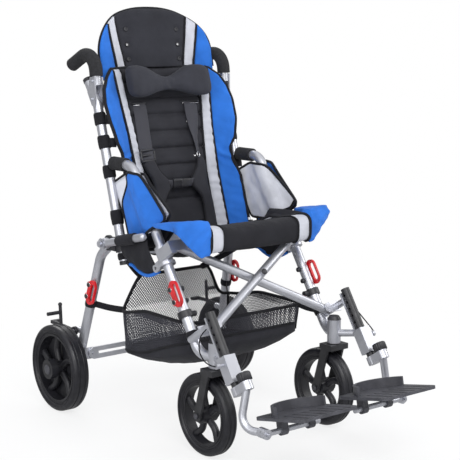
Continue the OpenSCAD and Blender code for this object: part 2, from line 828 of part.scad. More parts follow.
module wheel_lock() {
  pivot = [lock_x, lock_y, lock_z];
  pedal = [lock_x, pedal_y, pedal_z];
  lever = [lock_x, lever_y, lever_z];
  color(black) difference() {
    union() {
      across(lock_eye_r, lock_t, pivot);
      rod(pivot, pedal, lock_arm_w / 2);
      rod(lerp(pivot, pedal, lever_share), lever, lever_r);
      translate(lever) sphere(lever_r + side_gap);
      across(pawl_r, pawl_out,
             lerp(lerp(pivot, pedal, lever_share), lever, pawl_share) + [pawl_out / 2, 0, 0]);
      block([lock_t, pedal_l, pedal_t], pedal);
      block([pedal_w, pedal_l / 2, pedal_t], pedal - [pedal_w / 2 - lock_t / 2, -pedal_l / 2, 0]);
    }
    across(lock_pin_r + gap, lock_t + 2 * overrun, pivot);
  }
}

// Footrests

knob_pt = lean_pt(foot_x, -knob_off, knuckle_low + knuckle_l / 2);
arm_bow = [foot_x + arm_bow_x, arm_turn_y, plate_bar_z + arm_bow_z];
arm_end = [foot_x, arm_end_y, plate_bar_z];

foot_low = knuckle_low + grip_t + gap;
foot_holes = 5;
foot_pitch = 18;
module foot_tube() {
  color(black) lean_frame() difference() {
    translate([foot_x, -foot_off, foot_low]) cylinder(h = foot_top - foot_low, r = foot_r);
    for (k = [1 : foot_holes])
      across(pin_r, foot_tube_d + 2 * overrun, [foot_x, -foot_off, foot_top - k * foot_pitch]);
  }
}
module foot_arm() {
  color(silver) {
    difference() {
      union() {
        lean_frame() {
          translate([foot_x, -foot_off, knuckle_low]) cylinder(h = knuckle_l, r = knuckle_r);
          block([2 * knob_r, knob_off - foot_off, knuckle_l],
                [foot_x, -(knob_off + foot_off) / 2, knuckle_low + knuckle_l / 2]);
          translate([foot_x, -knob_off, knuckle_low]) cylinder(h = knob_l, r = knob_r);
          for (k = [0 : knob_ribs - 1])
            translate([foot_x, -knob_off, knuckle_low + knuckle_l]) rotate([0, 0, 360 * k / knob_ribs])
              translate([knob_r, 0, 0]) cylinder(h = knob_l - knuckle_l, r = knob_rib_r);
        }
        bent([knob_pt, arm_bow, arm_end + [0, eye_w / 2, 0]], arm_bar_r, arm_bend_r);
        fore_aft(eye_r, eye_w, arm_end + [0, eye_w / 2, 0]);
        fore_aft(flip_pin_r, 2 * eye_w + 2 * side_gap + head_t, arm_end - [0, eye_w / 2, 0]);
      }
      lean_frame() translate([foot_x, -foot_off, knuckle_low + grip_t])
        cylinder(h = knuckle_l + overrun, r = foot_r + gap);
    }
  }
}
module flip_bar() {
  eye = [foot_x, bar_y, plate_bar_z];
  bar_in = plate_mid_x - plate_w / 2 + clamp_w;
  color(silver) difference() {
    union() {
      fore_aft(eye_r, eye_w, eye);
      rod(eye, [bar_in, eye[1], plate_bar_z], plate_bar_r);
    }
    fore_aft(flip_pin_r + gap, eye_w + 2 * overrun, eye);
  }
}
// The plate is drawn level about its bar, then tipped toe-up
module footplate() {
  color(black)
  translate([0, bar_y, plate_bar_z]) rotate([-plate_tilt, 0, 0]) difference() {
    union() {
      toe = plate_heel - plate_l;
      mid_y = (plate_heel + toe) / 2;
      block([plate_w - 2 * corner_r, plate_l, plate_t], [plate_mid_x, mid_y, plate_lift]);
      block([plate_w, plate_l - 2 * corner_r, plate_t], [plate_mid_x, mid_y, plate_lift]);
      for (sx = [-1, 1]) for (sy = [-1, 1])
        translate([plate_mid_x + sx * (plate_w / 2 - corner_r), mid_y + sy * (plate_l / 2 - corner_r),
                   plate_lift - plate_t / 2])
          cylinder(h = plate_t, r = corner_r);
      // heel cup: a curved wall with a flat tab at each end
      heel_r = plate_w / 2 - heel_t;
      translate([plate_mid_x, plate_heel - heel_r - heel_t / 2, plate_lift])
        rotate([0, 0, 90 - heel_arc]) rotate_extrude(angle = 2 * heel_arc)
          translate([heel_r - heel_t, 0]) square([heel_t, heel_h]);
      for (c = [clamp_in_x, clamp_out_x]) {
        across(clamp_r, clamp_w, [c, 0, 0]);
        block([clamp_w, 2 * clamp_r - overrun, plate_lift], [c, 0, plate_lift / 2]);
      }
    }
    for (k = [1 : tread_slots])
      block([tread_w, tread_l, 2 * plate_lift],
            [plate_mid_x - plate_w / 2 + k * plate_w / (tread_slots + 1),
             plate_heel - plate_l + tread_in + tread_w, 2 * plate_lift - plate_t / 4]);
    across(plate_bar_r + gap, plate_w * 2, [plate_mid_x, 0, 0]);
  }
}

// Cross tubes and folding strut

// A tube across the middle; it rises to +X when the way is 1 and to -X when it is -1
module cross_tube(way, layer) {
  half = [cross_half_x * way, 0, cross_rise];
  past = unit(half) * cross_past;
  lean_frame() translate([0, -cross_off + layer, cross_mid]) difference() {
    rod(-half - past, half + past, cross_r);
    for (s = [-1, 1]) fore_aft(bolt_r + gap, cross_d + 2 * overrun, s * half);
    if (layer > 0) fore_aft(bolt_r + gap, cross_d + 2 * overrun, [0, 0, 0]);
  }
}
module front_cross_tube() {
  color(silver) {
    cross_tube(1, -cross_layer);
    lean_frame() {
      spacer = 2 * cross_layer - cross_d - 2 * gap;
      shank = cross_layer + cross_r + side_gap;
      fore_aft(bolt_r, 2 * shank, [0, -cross_off, cross_mid]);
      fore_aft(head_r, spacer / 2, [0, -cross_off - spacer / 4 - gap / 2, cross_mid]);
      fore_aft(head_r, head_t, [0, -cross_off + shank + head_t / 2, cross_mid]);
      fore_aft(head_r, head_t, [0, -cross_off - shank - head_t / 2, cross_mid]);
    }
  }
}
module rear_cross_tube() { color(silver) cross_tube(-1, cross_layer); }

// Twin flat bars from the rear leg to the knuckle in the middle
module strut(layer) {
  y = strut_y + layer;
  color(silver) difference() {
    union() {
      for (s = [-1, 1]) block([strut_half_x, strut_bar_t, strut_bar_h],
                              [strut_half_x / 2, y, strut_z + s * strut_pitch / 2]);
      fore_aft(strut_eye_r + grip_t, strut_bar_t, [0, y, strut_z]);
      fore_aft(strut_eye_r - gap, strut_bar_t, [strut_half_x, y, strut_z]);
      block([strut_bar_h, strut_bar_t, strut_pitch], [strut_half_x / 2, y, strut_z]);
    }
    fore_aft(bolt_r + gap, strut_bar_t + 2 * overrun, [strut_half_x, y, strut_z]);
  }
}

// Soft parts

ring_count = 32;
seat_power = 0.55;
seat_rear_z = 470;
seat_front_z = 519;
seat_rear_h = 20;
seat_mid_h = 12;
seat_front_h = 41;
seat_roll_share = 0.72;
seat_lip = 14;
seat_tip_rise = 16;
seat_tip_back = 14;
seat_wing_rear = 18;
seat_sag = 46;
seat_sag_share = 0.8;
tip_h_share = 0.16;
// The underside is lifted off the cross tube ends and sleeves behind the roll
under_from = 112;
under_base = 484;
under_slope = 0.66;
under_top = 532;
under_front_y = -80;
under_wing_y = -92;
under_rear_y = 80;
under_t = 8;
function under(x, y) =
  y < (abs(x) > seat_half_w ? under_wing_y : under_front_y) || y > under_rear_y || abs(x) < under_from ? 0
  : min(under_top, under_base + (abs(x) - under_from) * under_slope);
seat_stations = [-1, -0.985, -0.93, -0.86, -0.80, -0.765, -0.755, -0.70, -0.60, -0.48, -0.30, -0.12,
                 0.12, 0.30, 0.48, 0.60, 0.70, 0.755, 0.765, 0.80, 0.86, 0.93, 0.985, 1];

// One cross-section of the seat sling, in the YZ plane at a share of its half width
function seat_ring(share) = let (
  x = share * seat_tip_x,
  out = clamp01((abs(x) - seat_half_w) / (seat_tip_x - seat_half_w)),
  front = seat_front_y + seat_tip_back * out * out,
  rear = abs(x) > seat_half_w ? seat_wing_rear : seat_rear_y,
  thin = lerp(1, tip_h_share, out * out * out)
) [for (k = [0 : ring_count - 1]) let (
  a = 360 * k / ring_count,
  reach = (1 - full(cos(a), seat_power)) / 2,
  y = lerp(rear, front, reach),
  run = (seat_rear_y - y) / (seat_rear_y - seat_front_y),
  roll = smooth((run - seat_roll_share) / (1 - seat_roll_share)),
  h = (run < seat_roll_share ? lerp(seat_rear_h, seat_mid_h, run / seat_roll_share)
                             : lerp(seat_mid_h, seat_front_h, roll)) * thin,
  sag = seat_sag * (1 - pow(min(1, abs(x) / seat_half_w), 2)) * (1 - smooth(run / seat_sag_share)),
  mid = lerp(seat_rear_z, seat_front_z + seat_lip, run) - seat_lip * 2 * roll * (1 - out)
        - sag + seat_tip_rise * out
) [x, y, max(mid + h * full(sin(a), seat_power),
             under(x, y) + under_t * (1 + full(sin(a), seat_power)) / 2)]];

module seat_sling() { color(black) loft([for (s = seat_stations) seat_ring(s)]); }

// The back sling's front face, by share of half width and height
back_slope = (cane_bend_y - cane_foot_y) / (cane_bend_z - cane_foot_z);
// Wings come further forward at the arms than at the top: height and reach
wing_flare = [[760, 36], [850, 25]];
flare_from = 132;
back_sag = 26;
// Half width of the back as a share of its widest, by height
back_shape = [[640, 0.85], [690, 0.85], [715, 0.92], [768, 0.985],
              [815, 1], [850, 0.965], [880, 0.88], [902, 0.75]];
channel_depth = 4;
channel_pitch = 42;
channel_half_w = 100;
channel_rows = 3;
channel_first = 5;
channel_count = 7;
row_pitch = channel_pitch / channel_rows;
back_rows = floor((back_top_z - back_low_z) / row_pitch);
back_cols = [-1, -0.97, -0.90, -0.80, -0.70, -0.60, -0.50, -0.42, -0.2, 0,
             0.2, 0.42, 0.50, 0.60, 0.70, 0.80, 0.90, 0.97, 1];

edge_power = 0.5;
edge_sharp = 6;
// How full a quilted panel is at a share of its half width
function edge_round(c) = pow(1 - pow(abs(c), edge_sharp), edge_power);
function back_line(z) = cane_foot_y + (z - cane_foot_z) * back_slope;
function back_edge(z) = back_half_w * lookup(z, back_shape);
// Depth of the quilted channel at a height
function channel(z) = channel_depth * max([for (k = [0 : channel_count - 1])
  max(0, 1 - abs(z - back_low_z - channel_first * row_pitch - k * channel_pitch) / row_pitch)]);
function back_face(x, z) = back_line(z)
  - lookup(z, wing_flare) * smooth((abs(x) - flare_from) / (back_half_w - flare_from))
  + back_sag * (1 - pow(min(1, abs(x) / flare_from), 2))
  + (abs(x) < channel_half_w ? channel(z) : 0);

module back_sling() {
  rows = concat([for (j = [0 : back_rows - 1]) back_low_z + row_pitch * j], [back_top_z]);
  color(black) loft([for (z = rows) let (e = back_edge(z)) concat(
    [for (c = back_cols) [c * e, back_face(c * e, z) - back_t * edge_round(c), z]],
    [for (k = [len(back_cols) - 2 : -1 : 1]) let (c = back_cols[k])
      [c * e, back_face(c * e, z) - (abs(c * e) < channel_half_w ? channel(z) : 0) + cloth_t, z]]
  )]);
}

// The head extension stands on the back sling's top edge and narrows to a rounded crown
head_low_z = back_top_z + gap;
head_y = 354;
head_slope = 0.17;
hood_t = 16;
head_wrap = 22;
head_wrap_from = 96;
head_shoulder_z = 960;
head_corner_z = 1040;
head_corner_x = 108;
head_crown_x = 70;
head_rows = 20;
function head_edge(z) = z < head_corner_z
  ? lerp(head_half_w, head_corner_x,
         pow(clamp01((z - head_shoulder_z) / (head_corner_z - head_shoulder_z)), 2))
  : lerp(head_crown_x, head_corner_x,
         pow(1 - pow((z - head_corner_z) / (head_top_z - head_corner_z), 2), edge_power));
function head_back(x, z) = head_y + (z - head_low_z) * head_slope
  - head_wrap * smooth((abs(x) - head_wrap_from) / (head_half_w - head_wrap_from));
module head_extension() {
  color(black) loft([for (j = [0 : head_rows]) let (
    z = lerp(head_low_z, head_top_z, j / head_rows), e = head_edge(z)
  ) concat(
    [for (c = back_cols) [c * e, head_back(c * e, z) - hood_t * edge_round(c), z]],
    [for (k = [len(back_cols) - 2 : -1 : 1]) let (c = back_cols[k]) [c * e, head_back(c * e, z) + cloth_t, z]]
  )]);
}

// A bow-tie pillow: tall at its ends, dipped above and arched below at its middle
pillow_z = 869;
pillow_h = 46;
pillow_waist = 24;
pillow_depth = 27;
pillow_y = 294;
pillow_wrap = 14;
pillow_steps = 20;
pillow_lobe_from = 0.12;
pillow_lobe_run = 0.5;
pillow_waist_share = 0.8;
pillow_power = 0.8;
pillow_end_power = 5;
pillow_end_share = 0.0005;
module headrest() {
  color(black) loft([for (j = [0 : pillow_steps]) let (
    s = -cos(180 * j / pillow_steps),
    lobe = smooth((abs(s) - pillow_lobe_from) / pillow_lobe_run),
    end = pow(1 + pillow_end_share - pow(abs(s), pillow_end_power), edge_power),
    h = lerp(pillow_waist, pillow_h, lobe) * end,
    d = lerp(pillow_depth * pillow_waist_share, pillow_depth, lobe) * end
  ) [for (k = [0 : ring_count - 1]) let (a = 360 * k / ring_count) [
    s * pillow_half_w,
    pillow_y - pillow_wrap * s * s + d * full(cos(a), pillow_power)
      + h * back_slope * full(sin(a), pillow_power),
    pillow_z + h * full(sin(a), pillow_power)
  ]]]);
}

// Shoulder straps and the padded chest vest that they pull on
strap_w = 40;
strap_t = 2.4;
strap_top_x = 82;
strap_top_z = 806;
strap_low_x = 88;
strap_low_z = 672;
strap_off = 8.4;
vest_t = 10;
vest_off = 12.5;
vest_low_z = 536;
vest_arm_z = 606;
vest_neck_x = 56;
vest_hip_x = 84;
buckle_h_share = 0.7;
// A point on the back sling's face, stood off it
function on_back(x, z, off) =
  [x, back_line(z) + back_sag * (1 - pow(min(1, abs(x) / flare_from), 2)) - back_t - off, z];
module harness() {
  color(black) for (s = [-1, 1]) {
    top = on_back(s * strap_top_x, strap_top_z, strap_off);
    low = on_back(s * strap_low_x, strap_low_z, strap_off);
    chest = on_back(s * vest_neck_x, vest_arm_z, vest_off);
    hip = on_back(s * vest_hip_x, vest_low_z, vest_off);
    hull() { for (p = [top, low]) block([strap_w, strap_t, strap_t], p); }
    hull() { block([strap_w, strap_t, strap_t], low); block([strap_w, vest_t, vest_t], chest); }
    hull() { block([strap_w, vest_t, vest_t], chest); block([strap_w, vest_t, vest_t], hip); }
  }
}
module chest_buckle() {
  size = 2 * (vest_neck_x - strap_w / 2) - 2 * gap;
  at = on_back(vest_neck_x, vest_arm_z, vest_off);
  color(black) block([size, vest_t, strap_w * buckle_h_share], [0, at[1], at[2]]);
}

// The cloth basket: a tub with a tall rear wall, its floor sagging lower at the rear
basket_front_y = -62;
basket_rear_y = 264;
basket_lean = 46;
basket_front_rise = 96;
basket_wall_rise = 46;
tub_rows = 8;
tub_cols = 40;
tub_power = 0.42;
floor_share = 0.84;
belly_share = 0.35;
back_from_share = 0.2;
tub_mid = (basket_rear_y + basket_front_y) / 2;
// Height of the sagging floor at a place along Y
function floor_z(y) = basket_low_z
  + basket_front_rise * pow((basket_rear_y - y) / (basket_rear_y - basket_front_y), 2);
// A point on the tub's wall, around by angle and up by share
function tub(a, t, inset) = let (
  grow = lerp(floor_share, 1, smooth(t)),
  cx = (basket_half_w - inset) * grow,
  cy = ((basket_rear_y - basket_front_y) / 2 - inset) * grow,
  y = tub_mid + cy * full(sin(a), tub_power),
  tall = smooth((y - tub_mid) / cy - back_from_share),
  rim = lerp(basket_rim_z, basket_back_z, tall)
) [cx * full(cos(a), tub_power), y - basket_lean * tall * t * t,
   lerp(floor_z(y) + basket_wall_rise + inset, rim, t)];
function belly(a, inset) = let (p = tub(a, 0, inset), y = lerp(tub_mid, p[1], belly_share))
  [p[0] * belly_share, y, floor_z(y) + inset];
// Cloth straps from the tub's corners to the front legs and the cane feet
basket_strap_w = 18;
basket_front_hold = 288;
basket_rear_hold = 435.6;
module strap_end(x) { block([cloth_t, cloth_t, basket_strap_w], [x - tube_r - gap - cloth_t / 2, 0, 0]); }
module basket_straps() {
  cane_dir = unit(cane_path[1] - cane_path[0]);
  hold = cane_path[0] + cane_dir * (basket_rear_hold - cane_foot_z) / cane_dir[2];
  corner = [cloth_t, cloth_t, basket_strap_w];
  hull() {
    block(corner, tub(-45, 1, cloth_t) - [0, 0, basket_strap_w / 2]);
    lean_frame() translate([0, 0, up_at(basket_front_hold)]) strap_end(leg_x);
  }
  hull() {
    block(corner, tub(45, 1, cloth_t) - [0, 0, basket_strap_w / 2]);
    translate([0, hold[1], hold[2]]) rotate([-acos(cane_dir[2]), 0, 0]) strap_end(cane_x);
  }
}
module basket() {
  turn = [for (k = [0 : tub_cols - 1]) 360 * k / tub_cols];
  color(black) {
    basket_straps();
    mirror([1, 0, 0]) basket_straps();
  }
  color(grey) loft(concat(
    [[for (a = turn) belly(a, 0)]],
    [for (j = [0 : tub_rows]) [for (a = turn) tub(a, j / tub_rows, 0)]],
    [for (j = [tub_rows : -1 : 0]) [for (a = turn) tub(a, j / tub_rows, cloth_t)]],
    [[for (a = turn) belly(a, cloth_t)]]
  ));
}

right_side() front_leg(true);  // right_front_leg
left_side() front_leg(false);  // left_front_leg
right_side() receiver();  // right_receiver
left_side() receiver();  // left_receiver
right_side() sleeve(false);  // right_sleeve
left_side() sleeve(true);  // left_sleeve
right_side() seat_rail();  // right_seat_rail
left_side() seat_rail();  // left_seat_rail
right_side() rail_wrap();  // right_rail_wrap
left_side() rail_wrap();  // left_rail_wrap
right_side() back_cane();  // right_back_cane
left_side() back_cane();  // left_back_cane
right_side() push_grip();  // right_push_grip
left_side() push_grip();  // left_push_grip
right_side() arm_grip();  // right_arm_grip
left_side() arm_grip();  // left_arm_grip
right_side() rear_leg();  // right_rear_leg
left_side() rear_leg();  // left_rear_leg
right_side() fittings();  // right_fittings
left_side() fittings();  // left_fittings
right_side() tie_downs();  // right_tie_downs
left_side() tie_downs();  // left_tie_downs
right_side() bands();  // right_bands
left_side() bands();  // left_bands
right_side() side_panel();  // right_side_panel
left_side() side_panel();  // left_side_panel
right_side() caster_fork();  // right_caster_fork
left_side() caster_fork();  // left_caster_fork
right_side() caster_rim();  // right_caster_rim
left_side() caster_rim();  // left_caster_rim
right_side() caster_tyre();  // right_caster_tyre
left_side() caster_tyre();  // left_caster_tyre
right_side() rear_rim();  // right_rear_rim
left_side() rear_rim();  // left_rear_rim
right_side() rear_tyre();  // right_rear_tyre
left_side() rear_tyre();  // left_rear_tyre
right_side() wheel_lock();  // right_wheel_lock
left_side() wheel_lock();  // left_wheel_lock
right_side() foot_tube();  // right_foot_tube
left_side() foot_tube();  // left_foot_tube
right_side() foot_arm();  // right_foot_arm
left_side() foot_arm();  // left_foot_arm
right_side() flip_bar();  // right_flip_bar
left_side() flip_bar();  // left_flip_bar
right_side() footplate();  // right_footplate
left_side() footplate();  // left_footplate
left_side() front_cross_tube();
left_side() rear_cross_tube();
right_side() strut(-strut_layer);  // right_strut
left_side() strut(strut_layer);  // left_strut
left_side() seat_sling();
left_side() back_sling();
left_side() head_extension();
left_side() headrest();
left_side() harness();
left_side() chest_buckle();
left_side() basket();
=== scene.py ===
# %% [markdown]
# # Dressing a special needs buggy
# The folding frame, wheels, locks and footrests arrive as finished solids that already move.
# This lesson gives them their real finishes and sews the soft goods around them: the sling seat,
# the quilted back, the head panel and pillow, the harness, the side guards and the mesh basket.
# Blender works in metres, and the rider faces -Y.

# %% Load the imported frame
import bmesh, bpy, math
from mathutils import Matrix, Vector, noise


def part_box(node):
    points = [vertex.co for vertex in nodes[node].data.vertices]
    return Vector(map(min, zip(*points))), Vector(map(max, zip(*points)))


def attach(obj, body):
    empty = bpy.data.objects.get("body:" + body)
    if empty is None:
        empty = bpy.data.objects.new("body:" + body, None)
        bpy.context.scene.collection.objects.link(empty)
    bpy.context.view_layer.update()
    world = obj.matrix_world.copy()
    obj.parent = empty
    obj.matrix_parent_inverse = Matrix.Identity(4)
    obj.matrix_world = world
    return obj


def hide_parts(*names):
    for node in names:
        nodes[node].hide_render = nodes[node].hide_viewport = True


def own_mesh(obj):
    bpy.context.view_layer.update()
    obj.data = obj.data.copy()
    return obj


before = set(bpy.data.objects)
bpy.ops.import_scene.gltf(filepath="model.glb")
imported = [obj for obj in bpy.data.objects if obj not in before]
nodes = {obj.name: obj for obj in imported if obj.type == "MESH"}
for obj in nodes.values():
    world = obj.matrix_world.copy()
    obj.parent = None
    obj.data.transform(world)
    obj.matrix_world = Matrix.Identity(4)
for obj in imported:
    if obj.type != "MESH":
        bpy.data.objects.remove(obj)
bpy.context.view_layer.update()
scene = bpy.context.scene

# %% [markdown]
# ## Camera
# A product photograph is taken with a long lens from about chest height. The camera could be set by
# eye, but here it stands where the wheel contacts, tube ends and handles of the frame line up with
# the photograph, so that both can be laid side by side.

# %% Camera at the photograph's place
scene.view_settings.view_transform = "Standard"
lens = bpy.data.cameras.new("photo_camera")
lens.sensor_width, lens.lens, lens.clip_end = 36, 95.13, 50
camera = bpy.data.objects.new("photo_camera", lens)
scene.collection.objects.link(camera)
camera.location = (-1.8627, -2.3532, 0.9969)
look = Vector((-0.0392, -0.0373, 0.5146)) - camera.location
camera.rotation_euler = look.to_track_quat("-Z", "Y").to_euler()
scene.camera = camera
print("camera distance", round(look.length, 3))

# %% [markdown]
# ## The room
# The studio is white all round. One plain white world would light the cloth from every side and make
# the tubes look like paper, so the world gives three answers: white to the camera, a soft fill to
# cloth, and to shiny metal a room that is bright above and towards the main lamp and dim elsewhere.

# %% A room that metal can mirror
room = bpy.data.worlds.new("studio_room")
scene.world = room
room.use_nodes = True
room_nodes, room_links = room.node_tree.nodes, room.node_tree.links
paths = room_nodes.new("ShaderNodeLightPath")

def glow(node, colour, strength):
    node.inputs["Color"].default_value = (*colour, 1)
    node.inputs["Strength"].default_value = strength
    return node

white_wall = glow(room_nodes.new("ShaderNodeBackground"), (1, 1, 1), 1.0)
soft_fill = glow(room_nodes["Background"], (0.95, 0.97, 1.0), 0.74)
mirrored = room_nodes.new("ShaderNodeBackground")
outlook = room_nodes.new("ShaderNodeTexCoord")
toward_key = room_nodes.new("ShaderNodeVectorMath"); toward_key.operation = "DOT_PRODUCT"
toward_key.inputs[1].default_value = (-0.37, -0.72, 0.59)
room_links.new(outlook.outputs["Generated"], toward_key.inputs[0])
upward = room_nodes.new("ShaderNodeSeparateXYZ")
room_links.new(outlook.outputs["Generated"], upward.inputs[0])
brightest = room_nodes.new("ShaderNodeMath"); brightest.operation = "MAXIMUM"
dim_room = 0.4
bright_parts = ((toward_key.outputs["Value"], 0.15, 0.8, 1.25), (upward.outputs["Z"], 0.3, 0.95, 1.05))
for slot, (source, low, high, most) in enumerate(bright_parts):
    fit = room_nodes.new("ShaderNodeMapRange")
    fit.inputs["From Min"].default_value, fit.inputs["From Max"].default_value = low, high
    fit.inputs["To Min"].default_value, fit.inputs["To Max"].default_value = dim_room, most
    room_links.new(source, fit.inputs["Value"])
    room_links.new(fit.outputs["Result"], brightest.inputs[slot])
room_links.new(brightest.outputs[0], mirrored.inputs["Strength"])
print("room parts", len(bright_parts))

# %% [markdown]
# ### Which ray sees what
# Light Path tells what kind of ray asks. Two mix nodes are enough: the first keeps cloth and metal
# apart, and the second gives the white wall to everything that looks straight out of the picture.

# %% Camera, cloth and metal see their own room
seen = room_nodes.new("ShaderNodeMath"); seen.operation = "MAXIMUM"
room_links.new(paths.outputs["Is Camera Ray"], seen.inputs[0])
room_links.new(paths.outputs["Is Transmission Ray"], seen.inputs[1])
glossy, either = room_nodes.new("ShaderNodeMixShader"), room_nodes.new("ShaderNodeMixShader")
room_links.new(paths.outputs["Is Glossy Ray"], glossy.inputs[0])
room_links.new(soft_fill.outputs[0], glossy.inputs[1])
room_links.new(mirrored.outputs[0], glossy.inputs[2])
room_links.new(seen.outputs[0], either.inputs[0])
room_links.new(glossy.outputs[0], either.inputs[1])
room_links.new(white_wall.outputs[0], either.inputs[2])
room_links.new(either.outputs[0], room_nodes["World Output"].inputs[0])
print("world nodes", len(room_nodes))

# %% [markdown]
# ### Soft boxes
# Cloth needs a direction of light or its folds vanish. Round area lamps stand for the soft boxes of
# the studio: a key from the front, a side and a back lamp that draw the edges of tubes, and a weak
# fill for the shaded side. A sun lamp would be simpler, but its shadows are too hard for a studio.

# %% Four lamps
def soft_box(name, stand, size, watts):
    lamp = bpy.data.lights.new(name, "AREA")
    lamp.shape, lamp.size, lamp.energy = "DISK", size, watts
    holder = bpy.data.objects.new(name, lamp)
    scene.collection.objects.link(holder)
    holder.location = stand
    seat_height = Vector((0, 0, 0.5))
    holder.rotation_euler = (seat_height - Vector(stand)).to_track_quat("-Z", "Y").to_euler()
    return holder

lamps = [soft_box("key_box", (-1.2, -2.6, 2.9), 2.0, 58), soft_box("side_box", (2.8, -1.2, 1.8), 1.6, 26),
         soft_box("back_box", (0.6, 2.6, 2.4), 1.6, 24), soft_box("fill_box", (-2.5, -0.9, 1.1), 1.6, 12)]
print("soft boxes", len(lamps))

# %% [markdown]
# ## Finishes
# Each finish is a small set of nodes: a colour that wanders a little, a roughness that wanders with
# it, and a bump at the size of the real weave, grain or pore. Object coordinates are in metres, so
# a weave of 1.4 mm is the same on every piece, and it needs no unwrapping.

# %% A new finish
finishes = {}

def start_finish(name, rough, metal=0.0, sheen=0.0):
    mat = bpy.data.materials.new(name)
    mat.use_nodes = True
    shader = mat.node_tree.nodes["Principled BSDF"]
    shader.inputs["Roughness"].default_value = rough
    shader.inputs["Metallic"].default_value = metal
    shader.inputs["Sheen Weight"].default_value = sheen
    shader.inputs["Sheen Roughness"].default_value = 0.5
    shader.inputs["Specular IOR Level"].default_value = 0.2 if sheen else 0.5
    finishes[name] = mat
    return mat.node_tree, shader

def place(tree):
    found = tree.nodes.get("Texture Coordinate")
    return (found or tree.nodes.new("ShaderNodeTexCoord")).outputs["Object"]
print("finishes so far", len(finishes))

# %% [markdown]
# ### Patterns
# Fading is cloudy, threads are parallel ribs, and foam or moulded grain is a field of small cells.
# Pictures could be used, but Blender's noise, wave and cell textures draw all three without any, and
# each function here takes the real size in metres and turns it into a scale.

# %% Clouds, ribs and pores
def mottle(tree, size, detail=3.0):
    """Cloudy patches of about the given size."""
    tex = tree.nodes.new("ShaderNodeTexNoise")
    tex.inputs["Scale"].default_value = 1 / size
    tex.inputs["Detail"].default_value = detail
    tree.links.new(place(tree), tex.inputs["Vector"])
    return tex.outputs["Fac"]

plain_pitch = 0.31416    # of the wave texture at a scale of 1

def ribs(tree, pitch, way, wobble=0.0):
    """Parallel threads across one axis, a pitch apart."""
    tex = tree.nodes.new("ShaderNodeTexWave")
    tex.wave_type, tex.bands_direction = "BANDS", way
    tex.inputs["Scale"].default_value = plain_pitch / pitch
    tex.inputs["Distortion"].default_value = wobble
    tree.links.new(place(tree), tex.inputs["Vector"])
    return tex.outputs["Fac"]

def pores(tree, size):
    """Small cells, for foam, rubber and moulded grain."""
    tex = tree.nodes.new("ShaderNodeTexVoronoi")
    tex.inputs["Scale"].default_value = 1 / size
    tree.links.new(place(tree), tex.inputs["Vector"])
    return tex.outputs["Distance"]
print("patterns ready")

# %% [markdown]
# ### From pattern to finish
# A pattern is only a number between 0 and 1. It becomes a colour through a ramp, a roughness through
# a range, and a surface through a bump node. Small functions keep each recipe below to a few lines.

# %% Colour, roughness and relief from a pattern
def sums(tree, a, b, how="MULTIPLY"):
    mix = tree.nodes.new("ShaderNodeMath")
    mix.operation = how
    tree.links.new(a, mix.inputs[0])
    tree.links.new(b, mix.inputs[1])
    return mix.outputs[0]

def shade(tree, fac, stops):
    ramp = tree.nodes.new("ShaderNodeValToRGB")
    for element, (at, colour) in zip(ramp.color_ramp.elements, stops):
        element.position = at
        element.color = (*colour, 1)
    tree.links.new(fac, ramp.inputs["Fac"])
    return ramp.outputs["Color"]

def spread(tree, fac, low, high):
    fit = tree.nodes.new("ShaderNodeMapRange")
    fit.inputs["To Min"].default_value, fit.inputs["To Max"].default_value = low, high
    tree.links.new(fac, fit.inputs["Value"])
    return fit.outputs["Result"]

def relief(tree, shader, height, deep, strength):
    bump = tree.nodes.new("ShaderNodeBump")
    bump.inputs["Strength"].default_value = strength
    bump.inputs["Distance"].default_value = deep
    tree.links.new(height, bump.inputs["Height"])
    tree.links.new(bump.outputs["Normal"], shader.inputs["Normal"])

def colour_by(tree, shader, fac, stops):
    tree.links.new(shade(tree, fac, stops), shader.inputs["Base Color"])

def rough_by(tree, shader, fac, low, high):
    tree.links.new(spread(tree, fac, low, high), shader.inputs["Roughness"])

def tint(colour, share):
    return tuple(c * share for c in colour)
print("recipes can be mixed")

# %% [markdown]
# ### Cloth
# Covers and bindings are a plain weave, the pillow and head panel a finer one. A picture of cloth
# would need unwrapping on every pad, so the weave is two crossed sets of waves instead, with faded
# patches and fine creases over it. There are several blacks, so that neighbours do not run together.

# %% Woven cloth
def woven(name, colour, pitch=0.0014, sheen=0.04, rough=0.82, crease=0.0012):
    """Plain-weave cloth: two crossed sets of threads, faded patches and fine creases."""
    tree, shader = start_finish(name, rough, sheen=sheen)
    colour_by(tree, shader, mottle(tree, 0.05), [(0.3, tint(colour, 0.86)), (0.7, tint(colour, 1.1))])
    rough_by(tree, shader, mottle(tree, 0.02), rough - 0.1, rough + 0.08)
    threads = sums(tree, ribs(tree, pitch, "X"), ribs(tree, pitch, "Z"), "ADD")
    folds = sums(tree, mottle(tree, 0.018, 2.0), spread(tree, threads, 0.0, 0.3), "ADD")
    relief(tree, shader, folds, crease, 0.5)

woven("blue_cloth", (0.0275, 0.166, 0.625))
woven("grey_cloth", (0.58, 0.59, 0.645), pitch=0.0018)
woven("black_cloth", (0.0175, 0.0175, 0.022), pitch=0.0016)
woven("back_cloth", (0.03, 0.03, 0.0365), pitch=0.0016)
woven("charcoal_cloth", (0.036, 0.037, 0.047), pitch=0.0012, sheen=0.06, crease=0.0006)
woven("head_cloth", (0.027, 0.0275, 0.035), pitch=0.0012, sheen=0.06, crease=0.0008)
# the grey cloth made lighter: painted light for the guards' inner faces, which stand in shade
woven("grey_cloth_painted_lighter", (0.76, 0.77, 0.83), pitch=0.0018, crease=0.0018)
woven("binding_tape", (0.013, 0.013, 0.016), pitch=0.0022, crease=0.0004)
woven("mesh_thread", (0.06, 0.06, 0.072), pitch=0.0009)
print("cloths", len(finishes))

# %% [markdown]
# ### Webbing and foam
# Harness webbing is woven in clear cross ribs that shine a little, and the grips are soft foam with
# open pores. Both could use the cloth recipe, but a rib and a pore are what the eye knows them by.

